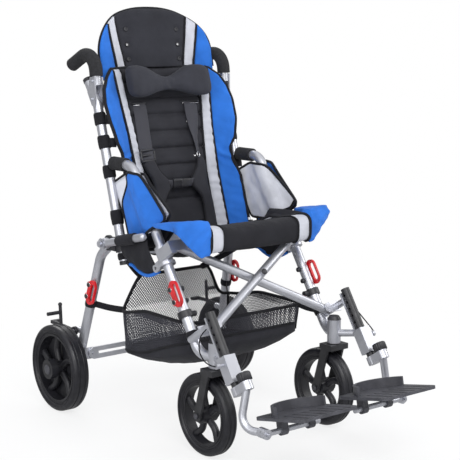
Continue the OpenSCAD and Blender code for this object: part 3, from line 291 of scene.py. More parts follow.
# %% Webbing and grip foam
tree, shader = start_finish("webbing", 0.75, sheen=0.05)
rib = ribs(tree, 0.0026, "Z", 0.4)
colour_by(tree, shader, rib, [(0.2, (0.042, 0.042, 0.05)), (0.8, (0.078, 0.078, 0.092))])
relief(tree, shader, rib, 0.0006, 0.7)

tree, shader = start_finish("grip_foam", 0.88)
foam_patches = mottle(tree, 0.006)
colour_by(tree, shader, foam_patches, [(0.3, (0.011, 0.011, 0.013)), (0.75, (0.024, 0.024, 0.028))])
relief(tree, shader, pores(tree, 0.0016), 0.0007, 0.6)
print("soft finishes", len(finishes))

# %% [markdown]
# ### Metal
# The tubes have a silver satin coat. A bare metal would mirror the room too sharply and a plain paint
# not at all, so the coat is three quarters metal and its shine wanders with fine scuffs. Pressed
# loops and washers are bare and brighter.

# %% Satin tube and bright loops
tree, shader = start_finish("silver_frame", 0.36, metal=0.75)
colour_by(tree, shader, mottle(tree, 0.04), [(0.3, (0.56, 0.57, 0.62)), (0.7, (0.62, 0.63, 0.68))])
rough_by(tree, shader, mottle(tree, 0.009, 6.0), 0.28, 0.42)
relief(tree, shader, mottle(tree, 0.0025, 2.0), 0.00012, 0.25)

tree, shader = start_finish("bright_metal", 0.22, metal=1.0)
colour_by(tree, shader, mottle(tree, 0.004, 5.0), [(0.3, (0.6, 0.6, 0.62)), (0.7, (0.8, 0.8, 0.82))])
rough_by(tree, shader, mottle(tree, 0.003), 0.14, 0.32)
print("metals", "silver_frame", "bright_metal")

# %% [markdown]
# ### Moulded plastic, coats and rubber
# Knobs, plates and wheel centres come out of a mould with a fine leather grain, and forks and loops
# are powder coated, which looks much the same. One recipe serves them all; hands and feet rub shiny
# patches into it. The solid tyres are smoother than cloth and shine where they turn to the lamp.

# %% Moulded parts and tyres
def moulded(name, colour, rough, grain=0.0012, deep=0.0002):
    """Moulded plastic or powder coat: a fine leather grain and rubbed, shinier patches."""
    tree, shader = start_finish(name, rough)
    colour_by(tree, shader, mottle(tree, 0.03), [(0.35, tint(colour, 0.8)), (0.75, tint(colour, 1.35))])
    rough_by(tree, shader, mottle(tree, 0.012), rough - 0.12, rough + 0.12)
    relief(tree, shader, pores(tree, grain), deep, 0.35)

moulded("black_plastic", (0.026, 0.026, 0.031), 0.44)
moulded("plate_plastic", (0.062, 0.062, 0.073), 0.42)
moulded("black_coat", (0.024, 0.024, 0.027), 0.4, grain=0.0008)
moulded("wheel_plastic", (0.017, 0.017, 0.021), 0.4)
moulded("red_coat", (0.62, 0.014, 0.02), 0.36, grain=0.0009, deep=0.0001)

tree, shader = start_finish("tyre_rubber", 0.72)
dust = mottle(tree, 0.02, 6.0)
colour_by(tree, shader, dust, [(0.35, (0.010, 0.010, 0.0135)), (0.8, (0.020, 0.020, 0.026))])
rough_by(tree, shader, mottle(tree, 0.015), 0.3, 0.44)
relief(tree, shader, pores(tree, 0.002), 0.00016, 0.3)
print("finishes", sorted(finishes))

# %% [markdown]
# ## Finishes onto the frame
# The rigid parts keep the shapes they arrive with. Each only loses its plain colour and wears the
# finish of the real part; a table from finish to parts is easier to check than a line for each part.

# %% Finishes onto the frame's own nodes
worn_by = {
    "silver_frame": ["front_leg", "receiver", "sleeve", "seat_rail", "back_cane", "rear_leg",
                     "foot_arm", "flip_bar", "strut"],
    "grip_foam": ["push_grip", "arm_grip"],
    "black_plastic": ["fittings", "wheel_lock"],
    "plate_plastic": ["footplate"],
    "black_coat": ["caster_fork", "foot_tube"],
    "red_coat": ["tie_downs"],
    "wheel_plastic": ["caster_rim", "rear_rim"],
    "tyre_rubber": ["caster_tyre", "rear_tyre"],
}

hands = (("right", -1), ("left", 1))    # the rider's hands, and the sign of X on that side

def dress(node, finish):
    mesh = nodes[node].data
    mesh.materials.clear()
    mesh.materials.append(finishes[finish])

for finish, kinds in worn_by.items():
    for kind in kinds:
        for hand, _ in hands:
            dress(f"{hand}_{kind}", finish)
for node in ("front_cross_tube", "rear_cross_tube"):
    dress(node, "silver_frame")
print("dressed", sum(len(k) for k in worn_by.values()) * 2 + 2)

# %% [markdown]
# ## The floor
# A pale studio floor catches the shadow under the wheels. Far from the buggy it turns into plain
# white, by distance from the middle, so no horizon line shows behind the back. To the tubes it looks
# dimmer than it is, or their undersides would shine as if lit from below.

# %% Pale floor
floor_edge, floor_reach, floor_drop = 64, 6, -0.0005
ring = [(floor_reach * math.cos(a), floor_reach * math.sin(a), floor_drop)
        for a in (math.tau * k / floor_edge for k in range(floor_edge))]
floor_mesh = bpy.data.meshes.new("studio_floor")
floor_mesh.from_pydata(ring, [], [list(range(floor_edge))])
floor = bpy.data.objects.new("studio_floor", floor_mesh)
scene.collection.objects.link(floor)
tree, shader = start_finish("floor_paint", 0.9)
colour_by(tree, shader, mottle(tree, 0.4), [(0.3, (0.88, 0.88, 0.885)), (0.7, (0.92, 0.92, 0.925))])
print("floor", floor_reach * 2, "m across")

# %% [markdown]
# ### The floor fades to paper
# The shadow has to stay while the horizon goes. So the floor is mixed with white paper by distance,
# but only for rays that come straight from the camera; shiny metal gets a flat grey instead.

# %% Fading by distance
away = tree.nodes.new("ShaderNodeVectorMath"); away.operation = "LENGTH"
tree.links.new(place(tree), away.inputs[0])
fade = tree.nodes.new("ShaderNodeMapRange")
fade.interpolation_type = "SMOOTHSTEP"
fade.inputs["From Min"].default_value, fade.inputs["From Max"].default_value = 0.3, 1.3
fade.inputs["To Min"].default_value = 0.78
tree.links.new(away.outputs["Value"], fade.inputs["Value"])
paper = glow(tree.nodes.new("ShaderNodeEmission"), (1, 1, 1), 1.0)
view_ray = tree.nodes.new("ShaderNodeLightPath")
shown = sums(tree, view_ray.outputs["Is Camera Ray"], view_ray.outputs["Is Transmission Ray"], "MAXIMUM")
melt = tree.nodes.new("ShaderNodeMixShader")
tree.links.new(sums(tree, shown, fade.outputs["Result"]), melt.inputs[0])
tree.links.new(shader.outputs[0], melt.inputs[1])
tree.links.new(paper.outputs[0], melt.inputs[2])
dim = glow(tree.nodes.new("ShaderNodeEmission"), (1, 1, 1), 0.42)
mirror = tree.nodes.new("ShaderNodeMixShader")
tree.links.new(view_ray.outputs["Is Glossy Ray"], mirror.inputs[0])
tree.links.new(melt.outputs[0], mirror.inputs[1])
tree.links.new(dim.outputs[0], mirror.inputs[2])
tree.links.new(mirror.outputs[0], tree.nodes["Material Output"].inputs[0])
floor_mesh.materials.append(finishes["floor_paint"])
print("floor nodes", len(tree.nodes))

# %% [markdown]
# ## Ways to sew
# Nearly every soft piece here is a skin over a row of closed rings: a quilted panel is rings up the
# back, a binding is rings along an edge, a strap is flat rings along its run. Lengths are written in
# millimetres, as a pattern maker would, and turned into metres in one place.

# %% Skins over rings
def skin(name, rings, finish, closed_ends=True):
    """A smooth piece over rings that have equally many points."""
    count = len(rings[0])
    points = [Vector(p) / 1000 for ring in rings for p in ring]
    faces = []
    for j in range(len(rings) - 1):
        for i in range(count):
            a, b = j * count + i, j * count + (i + 1) % count
            faces.append((a, b, b + count, a + count))
    if closed_ends:
        faces.append(tuple(reversed(range(count))))
        faces.append(tuple(range((len(rings) - 1) * count, len(rings) * count)))
    mesh = bpy.data.meshes.new(name)
    mesh.from_pydata(points, [], faces)
    mesh.update()
    mesh.materials.append(finishes[finish])
    for face in mesh.polygons:
        face.use_smooth = True
    piece = bpy.data.objects.new(name, mesh)
    scene.collection.objects.link(piece)
    work = bmesh.new(); work.from_mesh(mesh)
    bmesh.ops.recalc_face_normals(work, faces=work.faces)
    work.to_mesh(mesh); work.free()
    return piece
print("skins wear one of", len(finishes), "finishes")

# %% [markdown]
# ### Setting a piece on its body
# A sewn piece has to travel with the frame part that carries it. Cloth slung between the two sides
# also gets narrower when the buggy is folded, and real cloth would crease; a piece that should narrow
# is given a squash towards the middle and a mesh of its own, but the squash is not applied. Each piece
# names the plain solids it takes the place of.

# %% Riding along, with a mesh of its own for a piece that should narrow
def settle(piece, body, slot, *replaced, squash=None):
    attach(piece, body)
    if squash:
        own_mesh(piece)
    if replaced:
        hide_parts(*replaced)
    return piece

mid_fold = ((1, 0, 0), (0, 0, 0.5), 0.44)    # axis, anchor and the share of the width that is kept

def on_back(piece, slot, *replaced):
    """Sew a piece to the back, between the two canes."""
    return settle(piece, "centre", slot, *replaced, squash=mid_fold)
print("the back folds to", mid_fold[2], "of its width")

# %% [markdown]
# ## The quilted back
# The back hangs between the two canes: a black padded middle quilted in level channels, a puckered
# light grey stripe on each side, and blue wings that reach forward around the rider. It could be one
# painted sheet, but sewn panels with their own thickness catch the light along every seam, so each
# panel is its own pad between two seam lines. Curves that start and stop softly, and short tables in
# place of drawn curves, are all that the paper pattern needs.

# %% Easing, and reading a table
def ease(t):
    t = min(1.0, max(0.0, t))
    return t * t * (3 - 2 * t)

def along(table, at):
    """A value read off a short table of (place, value) with straight runs between."""
    for (a, va), (b, vb) in zip(table, table[1:]):
        if at <= b:
            return va + (vb - va) * min(1.0, max(0.0, (at - a) / (b - a)))
    return table[-1][1]
print("half way eases to", ease(0.5))

# %% [markdown]
# ### The pattern of the back
# Each table gives half a width at a few heights, read off the photograph. The cloth behind the pads
# sags between the canes and comes forward at the wings; a lattice or a sculpt could bend a flat sheet
# like this, but a rule for its depth lets every later piece ask where the cloth is.

# %% The lines that the back is cut to
cane_y, cane_z, cane_slope = 182.67, 424, 0.29381
sag_deep, sag_half, wing_run = 26, 132, 72
wing_reach = [(760, 36), (850, 25)]
back_half = [(498, 187), (612, 186), (655, 175), (690, 174), (715, 188), (768, 201),
             (815, 204), (850, 197), (880, 180), (902, 153)]
stripe_in = [(498, 99), (627, 99), (740, 109), (825, 119), (907, 125)]
stripe_out = [(498, 133), (627, 131), (740, 136), (825, 145), (907, 152)]

def back_line(z):
    return cane_y + (z - cane_z) * cane_slope

def sag_at(x):
    return sag_deep * (1 - min(1, abs(x) / sag_half) ** 2)

def back_cloth_y(x, z):
    """Where the back's rear cloth hangs: sagging in the middle, coming forward at the wings."""
    return back_line(z) - along(wing_reach, z) * ease((abs(x) - sag_half) / wing_run) + sag_at(x)
print("back is", 2 * max(half for _, half in back_half), "mm wide")

# %% [markdown]
# ### A pad between two seams
# A sewer stuffs a pad between two seams, so it is thick in the middle and thin where it is stitched.
# A subdivided plane could be pushed out in the same way, but a panel of rings also has a rear face,
# and its edges follow the seam lines without any trimming.

# %% Panels with rounded edges
def rise(low, high, step):
    count = max(2, round((high - low) / step))
    return [low + (high - low) * k / count for k in range(count + 1)]

def round_edge(c, least=0.35):
    return least + (1 - least) * math.sqrt(max(0.0, 1 - abs(c) ** 4))

def top_round(z, top, run=14):
    return math.sqrt(max(0.02, 1 - max(0.0, (z - top + run) / run) ** 2))

def panel(name, left, right, heights, front, rear, finish, columns):
    """A pad between two seam lines; front and rear give its faces at a place and a share across."""
    shares = [-1 + 2 * k / columns for k in range(columns + 1)]
    rings = []
    for z in heights:
        a, b = left(z), right(z)
        xs = [a + (b - a) * (s + 1) / 2 for s in shares]
        rings.append([(x, front(x, z, s), z) for x, s in zip(xs, shares)]
                     + [(x, rear(x, z), z) for x in reversed(xs)])
    return skin(name, rings, finish)
print("edge keeps", round(round_edge(1), 2), "of a pad's thickness")

# %% [markdown]
# ### The padded middle
# Eight level rows of stitching pull the wadding into soft channels. The stitching puckers the cloth,
# and wadding is never even. A bump would not show at the outline, so all of this is in the mesh: the
# pad is thin at each stitched line, swells between them, and a little noise keeps it from looking cast.

# %% Quilted channels
back_top, back_low = 902, 500
channel_low, channel_high = 560.6, 43.7
channel_lines = [channel_low + channel_high * k for k in range(8)]
stitched, swollen, swell_run = 5.5, 12.5, 17

def lump(x, y, z, size, seed=0):
    """Even noise between -1 and 1, in lumps of about the given size."""
    return noise.noise(Vector((x / size + seed, y / size, z / size + seed * 1.7)))

def middle_front(x, z, s):
    near = min(abs(z - line) for line in channel_lines)
    swell = math.sqrt(1 - (1 - min(1, near / swell_run)) ** 2)
    pucker = 0.7 * math.exp(-(near / 6) ** 2) * math.sin(x / 5.5 + 3 * lump(x, 0, z, 30))
    pad = stitched + swollen * swell + pucker + 0.7 * lump(x, 0, z, 30, 3)
    return back_cloth_y(x, z) - pad * round_edge(s, 0.6) * top_round(z, back_top)

def back_inside(x, z):
    return back_cloth_y(x, z) + 1

back_middle = panel("back_middle", lambda z: -along(stripe_in, z) + 1, lambda z: along(stripe_in, z) - 1,
                    rise(back_low, back_top, 2.4), middle_front, back_inside, "back_cloth", 56)
on_back(back_middle, "black_cloth", "back_sling")
print("stitched rows", len(channel_lines))

# %% [markdown]
# ### Stripes and wings
# The grey stripes are gathered between two seams, so small creases run in from both edges. The wings
# are drawn tight to the canes at one height, and their folds gather there. Cloth could be simulated
# for this, but sine folds bent by noise stay where a maker wants them.

# %% How stripes and wings crease
def stripe_front(x, z, s):
    pull = 2.6 * math.sin(z / 3.4 + 4 * lump(x, 0, z, 40, 1)) * (0.5 + 0.5 * lump(0, 0, z, 60, 5))
    pull *= 0.45 + 0.55 * s * s
    pad = 15.5 + pull + lump(x, 0, z, 14, 2)
    return back_cloth_y(x, z) - pad * round_edge(s, 0.72) * top_round(z, back_top)

waist_z = 662

def wing_front(x, z, s):
    gather = math.exp(-((z - waist_z) / 30) ** 2)
    slant = z * 0.9 + abs(x) * 0.55
    fold = (0.5 + 2.6 * gather) * math.sin(slant / 5.2 + 4 * lump(x, 0, z, 45)) + 2.0 * lump(x, 0, z, 34, 4)
    low = 1.3 * ease((640 - z) / 40) * math.sin(slant / 6.5 + 3 * lump(x, 0, z, 30, 7))
    pad = 13.5 - 3.5 * gather + fold + low
    return back_cloth_y(x, z) - pad * round_edge(s, 0.5) * top_round(z, back_top)
print("wings gather at", waist_z, "mm")

# %% [markdown]
# ### Sewing stripes and wings
# Both sides are sewn with the same two rules. Mirroring the finished right side would copy its creases
# too, and an eye finds that at once; drawn twice, the noise gives each side its own.

# %% Both sides of the back
def across(side, near, far):
    """The two seam lines of a pad on one side, in the order of X."""
    return ((lambda z: -far(z)), (lambda z: -near(z))) if side < 0 else (near, far)

wing_top = 899
for hand, side in hands:
    lo, hi = across(side, lambda z: along(stripe_in, z) + 1, lambda z: along(stripe_out, z) - 1)
    stripe = panel("back_stripe_" + hand, lo, hi, rise(back_low - 18, back_top, 2.4), stripe_front,
                   back_inside, "grey_cloth", 10)
    on_back(stripe, "blue_cloth")
    lo, hi = across(side, lambda z: along(stripe_out, z) + 1,
                    lambda z: max(along(stripe_out, z) + 3, along(back_half, z) - 3))
    wing = panel("back_wing_" + hand, lo, hi, rise(back_low - 22, wing_top, 3.0), wing_front,
                 back_inside, "blue_cloth", 18)
    on_back(wing, "blue_cloth")
print("stripes and wings sewn")

# %% [markdown]
# ### Piping, binding and cord
# Seams are piped and edges are bound with black tape. A Blender curve with a bevel would do, but it
# twists where the line turns sharply; rings set square to the path one by one do not.

# %% A bead along a line
def bead(name, path, radius, finish, sides=10, flat=1.0, up=(0, 0, 1)):
    """A round or flattened bead along a path: binding, piping, cord or wire."""
    path = [Vector(p) for p in path]
    rings = []
    for i, p in enumerate(path):
        run = (path[min(i + 1, len(path) - 1)] - path[max(i - 1, 0)]).normalized()
        aside = run.cross(Vector(up))
        if aside.length < 1e-4:
            aside = run.cross(Vector((0, 1, 0)))
        aside.normalize()
        lift = aside.cross(run).normalized()
        rings.append([p + aside * (radius * math.cos(a)) + lift * (radius * flat * math.sin(a))
                      for a in (math.tau * k / sides for k in range(sides))])
    return skin(name, rings, finish)

def taped(name, line, radius, body="centre", squash=mid_fold, **turned):
    """Binding tape or piping sewn along a line."""
    return settle(bead(name, line, radius, "binding_tape", **turned), body, "black_cloth", squash=squash)
print("tape finish", finishes["binding_tape"].name)

# %% [markdown]
# ### Seams and edge of the back
# Piping lies on both seams of each stripe, and one long tape runs up the right edge, over the top and
# down the left. Drawing it in one run keeps it unbroken round the two top corners.

# %% Piped seams and bound edge
def on_front(x, z, proud):
    return (x, back_cloth_y(x, z) - proud * top_round(z, back_top, 10), z)

for hand, side in hands:
    for part, table in (("inner", stripe_in), ("outer", stripe_out)):
        line = [on_front(side * along(table, z), z, 11.5) for z in rise(back_low - 20, back_top, 8)]
        taped(f"back_seam_{part}_{hand}", line, 3.6, up=(1, 0, 0))

edge_deep = 5
right_edge = [(-along(back_half, z), back_cloth_y(along(back_half, z), z) - edge_deep, z)
              for z in rise(back_low, wing_top, 8)]
top_edge = [(x, back_cloth_y(x, back_top) - edge_deep, back_top + 0.5 - 3 * (abs(x) / 153) ** 6)
            for x in rise(-150, 150, 10)]
left_edge = [(-x, y, z) for x, y, z in reversed(right_edge)]
taped("back_binding", right_edge + top_edge + left_edge, 4.3, up=(0, 1, 0))
print("binding points", len(right_edge) * 2 + len(top_edge))

# %% [markdown]
# ### Skirt and rear cloth
# A plain skirt hangs from the back down behind the seat, and a plain sheet closes the back from
# behind. Both are thin, so they are panels of two or three millimetres.

# %% Plain cloth behind the pads
skirt_half, skirt_y = 172, 204

def skirt_line(x, z):
    return max(back_cloth_y(x, z) - 4, skirt_y)

skirt = panel("back_skirt", lambda z: -skirt_half, lambda z: skirt_half, rise(446, back_low + 4, 4),
              lambda x, z, s: skirt_line(x, z) + 1.5 * lump(x, 0, z, 30),
              lambda x, z: skirt_line(x, z) + 3, "black_cloth", 40)
on_back(skirt, "black_cloth")

rear = panel("back_rear_cloth", lambda z: -along(back_half, z) + 2, lambda z: along(back_half, z) - 2,
             rise(back_low - 24, 900, 6), lambda x, z, s: back_cloth_y(x, z) + 1.2,
             lambda x, z: back_cloth_y(x, z) + 2.6 + 0.5 * lump(x, 0, z, 40), "black_cloth", 40)
on_back(rear, "black_cloth")
print("back closed, skirt", skirt_half * 2, "mm wide")

# %% [markdown]
# ## The head panel
# A second quilted panel stands on the back's top edge and takes a taller rider's head: black middle
# with six eyelets for the pillow's posts, grey stripes, blue ears that wrap forward. Its arched top
# could be cut with a boolean, but a half width that shrinks with height gives clean edge loops.

# %% The head panel's lines
head_low, head_top = 903, 1057.5
head_y, head_z, head_slope = 346.7, 902.3, 0.17
ear_from, ear_run, ear_reach = 96, 82, 22
arch_half, arch_foot, arch_high = 181, 930, 128.2
head_in = [(903, 93), (918, 95), (977, 106), (1030, 114), (1058, 116)]

def head_cloth_y(x, z):
    return head_y + (z - head_z) * head_slope - ear_reach * ease((abs(x) - ear_from) / ear_run)

def head_half(z):
    return arch_half * (1 - min(1, max(0, (z - arch_foot) / arch_high)) ** 2.2) ** 0.435

def narrows_to(gap):
    """The height where the arched outline comes in to a seam line."""
    return max(z for z in rise(head_low, head_top, 1) if head_half(z) > along(head_in, z) + gap)
print("head panel", round(head_half(918) * 2), "mm wide")

# %% [markdown]
# ### The head panel's middle
# The middle is one plain pad that is pulled in round each eyelet. The dents are part of the pad's own
# face, so that an eyelet sits in a hollow as it does when it is pressed through wadding.

# %% Black middle with six hollows
eyelet_x, eyelet_heights = 81.5, (1002, 962, 924)

def head_pad(thick, size, amount, least):
    def face(x, z, s):
        body = (thick + amount * lump(x, 0, z, size, 6)) * round_edge(s, least)
        return head_cloth_y(x, z) - body * top_round(z, head_top + 1, 16)
    return face

def dent(x, z):
    return sum(5 * math.exp(-(((abs(x) - eyelet_x) ** 2 + (z - ez) ** 2) / 150)) for ez in eyelet_heights)

def head_inside(x, z):
    return head_cloth_y(x, z) + 1

plain_head = head_pad(16, 50, 1.2, 0.6)
head_middle = panel("head_middle", lambda z: -min(along(head_in, z), head_half(z)) + 1,
                    lambda z: min(along(head_in, z), head_half(z)) - 1, rise(head_low, head_top, 3),
                    lambda x, z, s: plain_head(x, z, s) + dent(x, z), head_inside, "head_cloth", 44)
on_back(head_middle, "charcoal_cloth", "head_extension")
print("hollows", len(eyelet_heights) * 2)

# %% [markdown]
# ### Stripes and ears of the head panel
# The stripes carry on from those of the back, and the ears hang a little below the panel, over the
# back's top corners. Each one ends where the arch comes in to its seam, so the seam line is asked for
# that height instead of trimming pads that are too tall.

# %% Grey stripes and blue ears
stripe_wide = 29

def stripe_edge(z):
    """The outer edge of a stripe, inside the arch and never across its inner seam."""
    inner = along(head_in, z)
    return max(inner + 2, min(inner + stripe_wide, head_half(z) - 1))

for hand, side in hands:
    lo, hi = across(side, lambda z: along(head_in, z) + 1, stripe_edge)
    stripe = panel("head_stripe_" + hand, lo, hi, rise(head_low, narrows_to(2), 3),
                   head_pad(14, 16, 1.5, 0.7), head_inside, "grey_cloth", 8)
    on_back(stripe, "blue_cloth")
    lo, hi = across(side, lambda z: min(along(head_in, z) + stripe_wide + 3, head_half(z) - 2), head_half)
    ear = panel("head_ear_" + hand, lo, hi, rise(head_low - 30, narrows_to(stripe_wide + 5), 3),
                head_pad(13, 26, 3.0, 0.3), head_inside, "blue_cloth", 14)
    on_back(ear, "blue_cloth")
    flap = panel("head_ear_rear_" + hand, lo, hi, rise(head_low - 32, head_low + 3, 5),
                 lambda x, z, s: head_cloth_y(x, z) + 1.2, lambda x, z: head_cloth_y(x, z) + 2.8,
                 "black_cloth", 8)
    on_back(flap, "black_cloth")
    for part, gap, top in (("inner", 0, narrows_to(0)),
                           ("outer", stripe_wide + 1.5, narrows_to(stripe_wide + 2))):
        line = [(side * (along(head_in, z) + gap), head_cloth_y(along(head_in, z) + gap, z) - 10.5, z)
                for z in rise(head_low, top, 6)]
        taped(f"head_seam_{part}_{hand}", line, 3.2, up=(1, 0, 0))
print("ears end at", round(narrows_to(stripe_wide + 5)), "mm")

# %% [markdown]
# ### Rear cloth and lip of the head panel
# A sheet closes the panel from behind, and a piped lip runs round its arch. The lip follows angles
# and not heights, since near the top of an arch a small step in height is a long step sideways.

# %% Rear cloth and lip
rear = panel("head_rear_cloth", lambda z: -head_half(z) + 1, lambda z: head_half(z) - 1,
             rise(head_low, 1056, 5), lambda x, z, s: head_cloth_y(x, z) + 1.2,
             lambda x, z: head_cloth_y(x, z) + 2.8, "black_cloth", 30)
on_back(rear, "black_cloth")

half_edge = [(head_half(z), head_cloth_y(head_half(z), z) - edge_deep, z) for z in rise(head_low, 929, 6)]
arch_steps = 25
for k in range(arch_steps):
    a = math.pi / 2 * k / arch_steps
    x, z = arch_half * math.cos(a) ** 0.87, arch_foot + arch_high * math.sin(a) ** 0.909
    half_edge.append((x, head_cloth_y(x, z) - edge_deep, z))
arch_top = arch_foot + arch_high
half_edge.append((0, head_cloth_y(0, arch_top) - edge_deep, arch_top))
lip_line = [(-x, y, z) for x, y, z in half_edge] + list(reversed(half_edge[:-1]))
taped("head_lip", lip_line, 3.0, up=(0, 1, 0))
print("lip points", len(lip_line))

# %% [markdown]
# ### Eyelets
# Each eyelet is a hollow cup inside a rolled rim. Blender has a torus and a cylinder to start from,
# but one turned profile makes cups, bolt heads and domes alike, and a ring turned round its axis
# makes rims, loops and washers, each facing whichever way it has to.

# %% Turned discs and rings
def square_to(normal):
    n = Vector(normal).normalized()
    u = n.orthogonal().normalized()
    return n, u, n.cross(u)

def ring_of(name, centre, normal, big, small, finish, sides=20, tube=8):
    """A round ring facing along the normal: eyelet rim, loop or washer."""
    n, u, v = square_to(normal)
    rings = []
    for k in range(sides + 1):
        a = math.tau * k / sides
        out = u * math.cos(a) + v * math.sin(a)
        rings.append([Vector(centre) + out * (big + small * math.cos(b)) + n * (small * math.sin(b))
                      for b in (math.tau * j / tube for j in range(tube))])
    return skin(name, rings, finish, closed_ends=False)

def dish(name, centre, normal, profile, finish, sides):
    """A turned disc: each pair of the profile is a radius and a height along the normal."""
    n, u, v = square_to(normal)
    rings = [[Vector(centre) + (u * math.cos(a) + v * math.sin(a)) * r + n * h
              for a in (math.tau * k / sides for k in range(sides))] for r, h in profile]
    return skin(name, rings, finish)

def button(name, centre, normal, radius, high, finish, sides=18, dome=0.5):
    """A domed disc: bolt head, rivet or eyelet cup."""
    profile = [(0.98, 0), (1, 0.12), (1, 0.55), (0.93, 0.8),
               (0.6, 0.8 + 0.2 * dome), (0.15, 0.8 + 0.25 * dome)]
    return dish(name, centre, normal, [(radius * r, high * h) for r, h in profile], finish, sides)

print("the head panel faces", [round(c, 2) for c in square_to((0, -1, head_slope))[0]])

# %% [markdown]
# ### Six eyelets
# They sit in the hollows of the head panel's middle and face the way the panel leans. The cups of the
# middle row are bright and the others black, so the finish is chosen by the row.

# %% Cups and rims
forward = (0, -1, head_slope)
for i, ez in enumerate(eyelet_heights):
    for hand, side in hands:
        y = head_cloth_y(eyelet_x, ez) - 12.4
        cup = button(f"head_eyelet_{hand}_{i}", (side * eyelet_x, y + 1, ez), forward, 3.6, 1.2,
                     "bright_metal" if i == 1 else "black_plastic", dome=-0.6)
        on_back(cup, "black_plastic")
        rim = ring_of(f"head_eyelet_rim_{hand}_{i}", (side * eyelet_x, y, ez), forward, 4.6, 1.3,
                      "black_plastic")
        on_back(rim, "black_plastic")
print("eyelets", 2 * len(eyelet_heights))

# %% [markdown]
# ## The head pillow
# A bow-tie pillow: two full lobes and a narrow waist that the neck lies in. Drawing every bulge by
# hand would look stiff, so the cover is drawn a little small and then blown up: Blender's cloth
# solver holds it under a small pressure until the cover goes tight and its edges pull into folds.
# The solver wants an even mesh, so the cover is meshed again before it is filled.

# %% An even mesh for a cover
def even_cover(piece, voxel):
    """A copy of a closed piece with faces of one size."""
    work = bmesh.new()
    work.from_mesh(piece.data)
    fresh = bpy.data.meshes.new(piece.name + "_cover")
    work.to_mesh(fresh); work.free()
    cover = bpy.data.objects.new(piece.name + "_cover", fresh)
    scene.collection.objects.link(cover)
    bpy.context.view_layer.objects.active = cover
    even = cover.modifiers.new("even", "REMESH")
    even.mode, even.voxel_size = "VOXEL", voxel / 1000
    bpy.ops.object.modifier_apply(modifier="even")
    return cover
print("covers are meshed evenly")

# %% [markdown]
# ### Blowing up a cover
# The solver is run for a few frames under pressure and without weight, and only the places of the
# points are kept. Leaving the modifier on would need a cache, and the shape would wait for a frame.

# %% Cloth under pressure
fill_frames = 18

def blown_up(cover, pressure):
    """Where the points of a cover go under a pressure from inside."""
    cloth = cover.modifiers.new("fill", "CLOTH")
    cloth.settings.quality = 5
    cloth.settings.tension_stiffness = cloth.settings.compression_stiffness = 12
    cloth.settings.use_pressure = True
    cloth.settings.uniform_pressure_force = pressure
    cloth.settings.effector_weights.gravity = 0
    cloth.point_cache.frame_start, cloth.point_cache.frame_end = 1, fill_frames
    for step in range(1, fill_frames + 1):
        scene.frame_set(step)
    filled = cover.evaluated_get(bpy.context.evaluated_depsgraph_get())
    moved = [v.co.copy() for v in filled.data.vertices]
    scene.frame_set(1)
    cover.modifiers.clear()
    return moved
print("covers are blown up over", fill_frames, "frames")

# %% [markdown]
# ### Filling without bursting
# A slack part of the cover is pushed furthest, and a lobe could swell out of its place. So no
# point may go further than a few millimetres, and a last subdivision rounds what the solver left.

# %% Filling, limiting and rounding
def plump(piece, voxel, pressure, most):
    """Fill a closed cover under pressure, but move no point further than most (mm)."""
    cover = even_cover(piece, voxel)
    start = [v.co.copy() for v in cover.data.vertices]
    moved = blown_up(cover, pressure)
    for vertex, a, b in zip(cover.data.vertices, start, moved):
        step = b - a
        vertex.co = a + step * min(1, most / 1000 / max(1e-9, step.length))
    bpy.context.view_layer.objects.active = cover
    fine = cover.modifiers.new("fine", "SUBSURF")
    fine.levels = 1
    bpy.ops.object.modifier_apply(modifier="fine")
    cover.data.materials.clear()
    cover.data.materials.append(piece.data.materials[0])
    for face in cover.data.polygons:
        face.use_smooth = True
    name, old = piece.name, piece.data
    bpy.data.objects.remove(piece)
    bpy.data.meshes.remove(old)
    cover.name = name
    return cover
print("covers can be filled")

# %% [markdown]
# ### The bow-tie cover
# The cover is cut from upright sections: low and thin at the waist, tall and deep in the lobes, and
# squarer than an ellipse, because a sewn edge runs round it. Two short tables hold its half height and
# half depth, so that either can be tried without touching the other.

# %% Sections of the pillow
def full(c, power):
    """A cosine or sine drawn squarer, for a section between a circle and a box."""
    return math.copysign(abs(c) ** power, c)

pillow_half, pillow_y, pillow_z = 127, 284, 861
lobe_high = [(0, 19), (0.12, 20), (0.3, 26), (0.5, 36), (0.7, 41), (0.88, 40), (0.96, 35), (1, 27)]
lobe_deep = [(0, 14), (0.15, 15), (0.4, 22), (0.6, 26), (0.85, 26), (0.95, 21), (1, 13)]

def pillow_ring(c, points=36):
    """One upright section of the pillow at a share of its half width, waist in the middle."""
    high, deep = along(lobe_high, abs(c)), along(lobe_deep, abs(c))
    mid_z = pillow_z + 8 * ease(abs(c) / 0.6)
    mid_y = pillow_y - 14 * c * c
    ring = []
    for k in range(points):
        a = math.tau * k / points
        up = high * full(math.sin(a), 0.62)
        ring.append((pillow_half * c, mid_y + up * 0.2938 + deep * full(math.cos(a), 0.7), mid_z + up))
    return ring

sections = 72
pillow_rings = [pillow_ring(-1 + 2 * k / sections) for k in range(sections + 1)]
pillow = skin("head_pillow", pillow_rings, "charcoal_cloth")
pillow = plump(pillow, 4.0, 2.0, 3)
settle(pillow, "centre", "charcoal_cloth", "headrest", squash=((1, 0, 0), (0, 0, 0.5), 0.6))
print("pillow", len(pillow.data.vertices), "points", [round(v, 3) for v in pillow.dimensions])

# %% [markdown]
# ## The harness
# Two webbing straps come out of slots in the quilted back, run down through a ladder slider on the
# right and a metal loop on the left, and pull on a padded butterfly vest with a ribbed buckle. A flat
# curve would twist along the way, so each strap is told which way its face looks at every step.

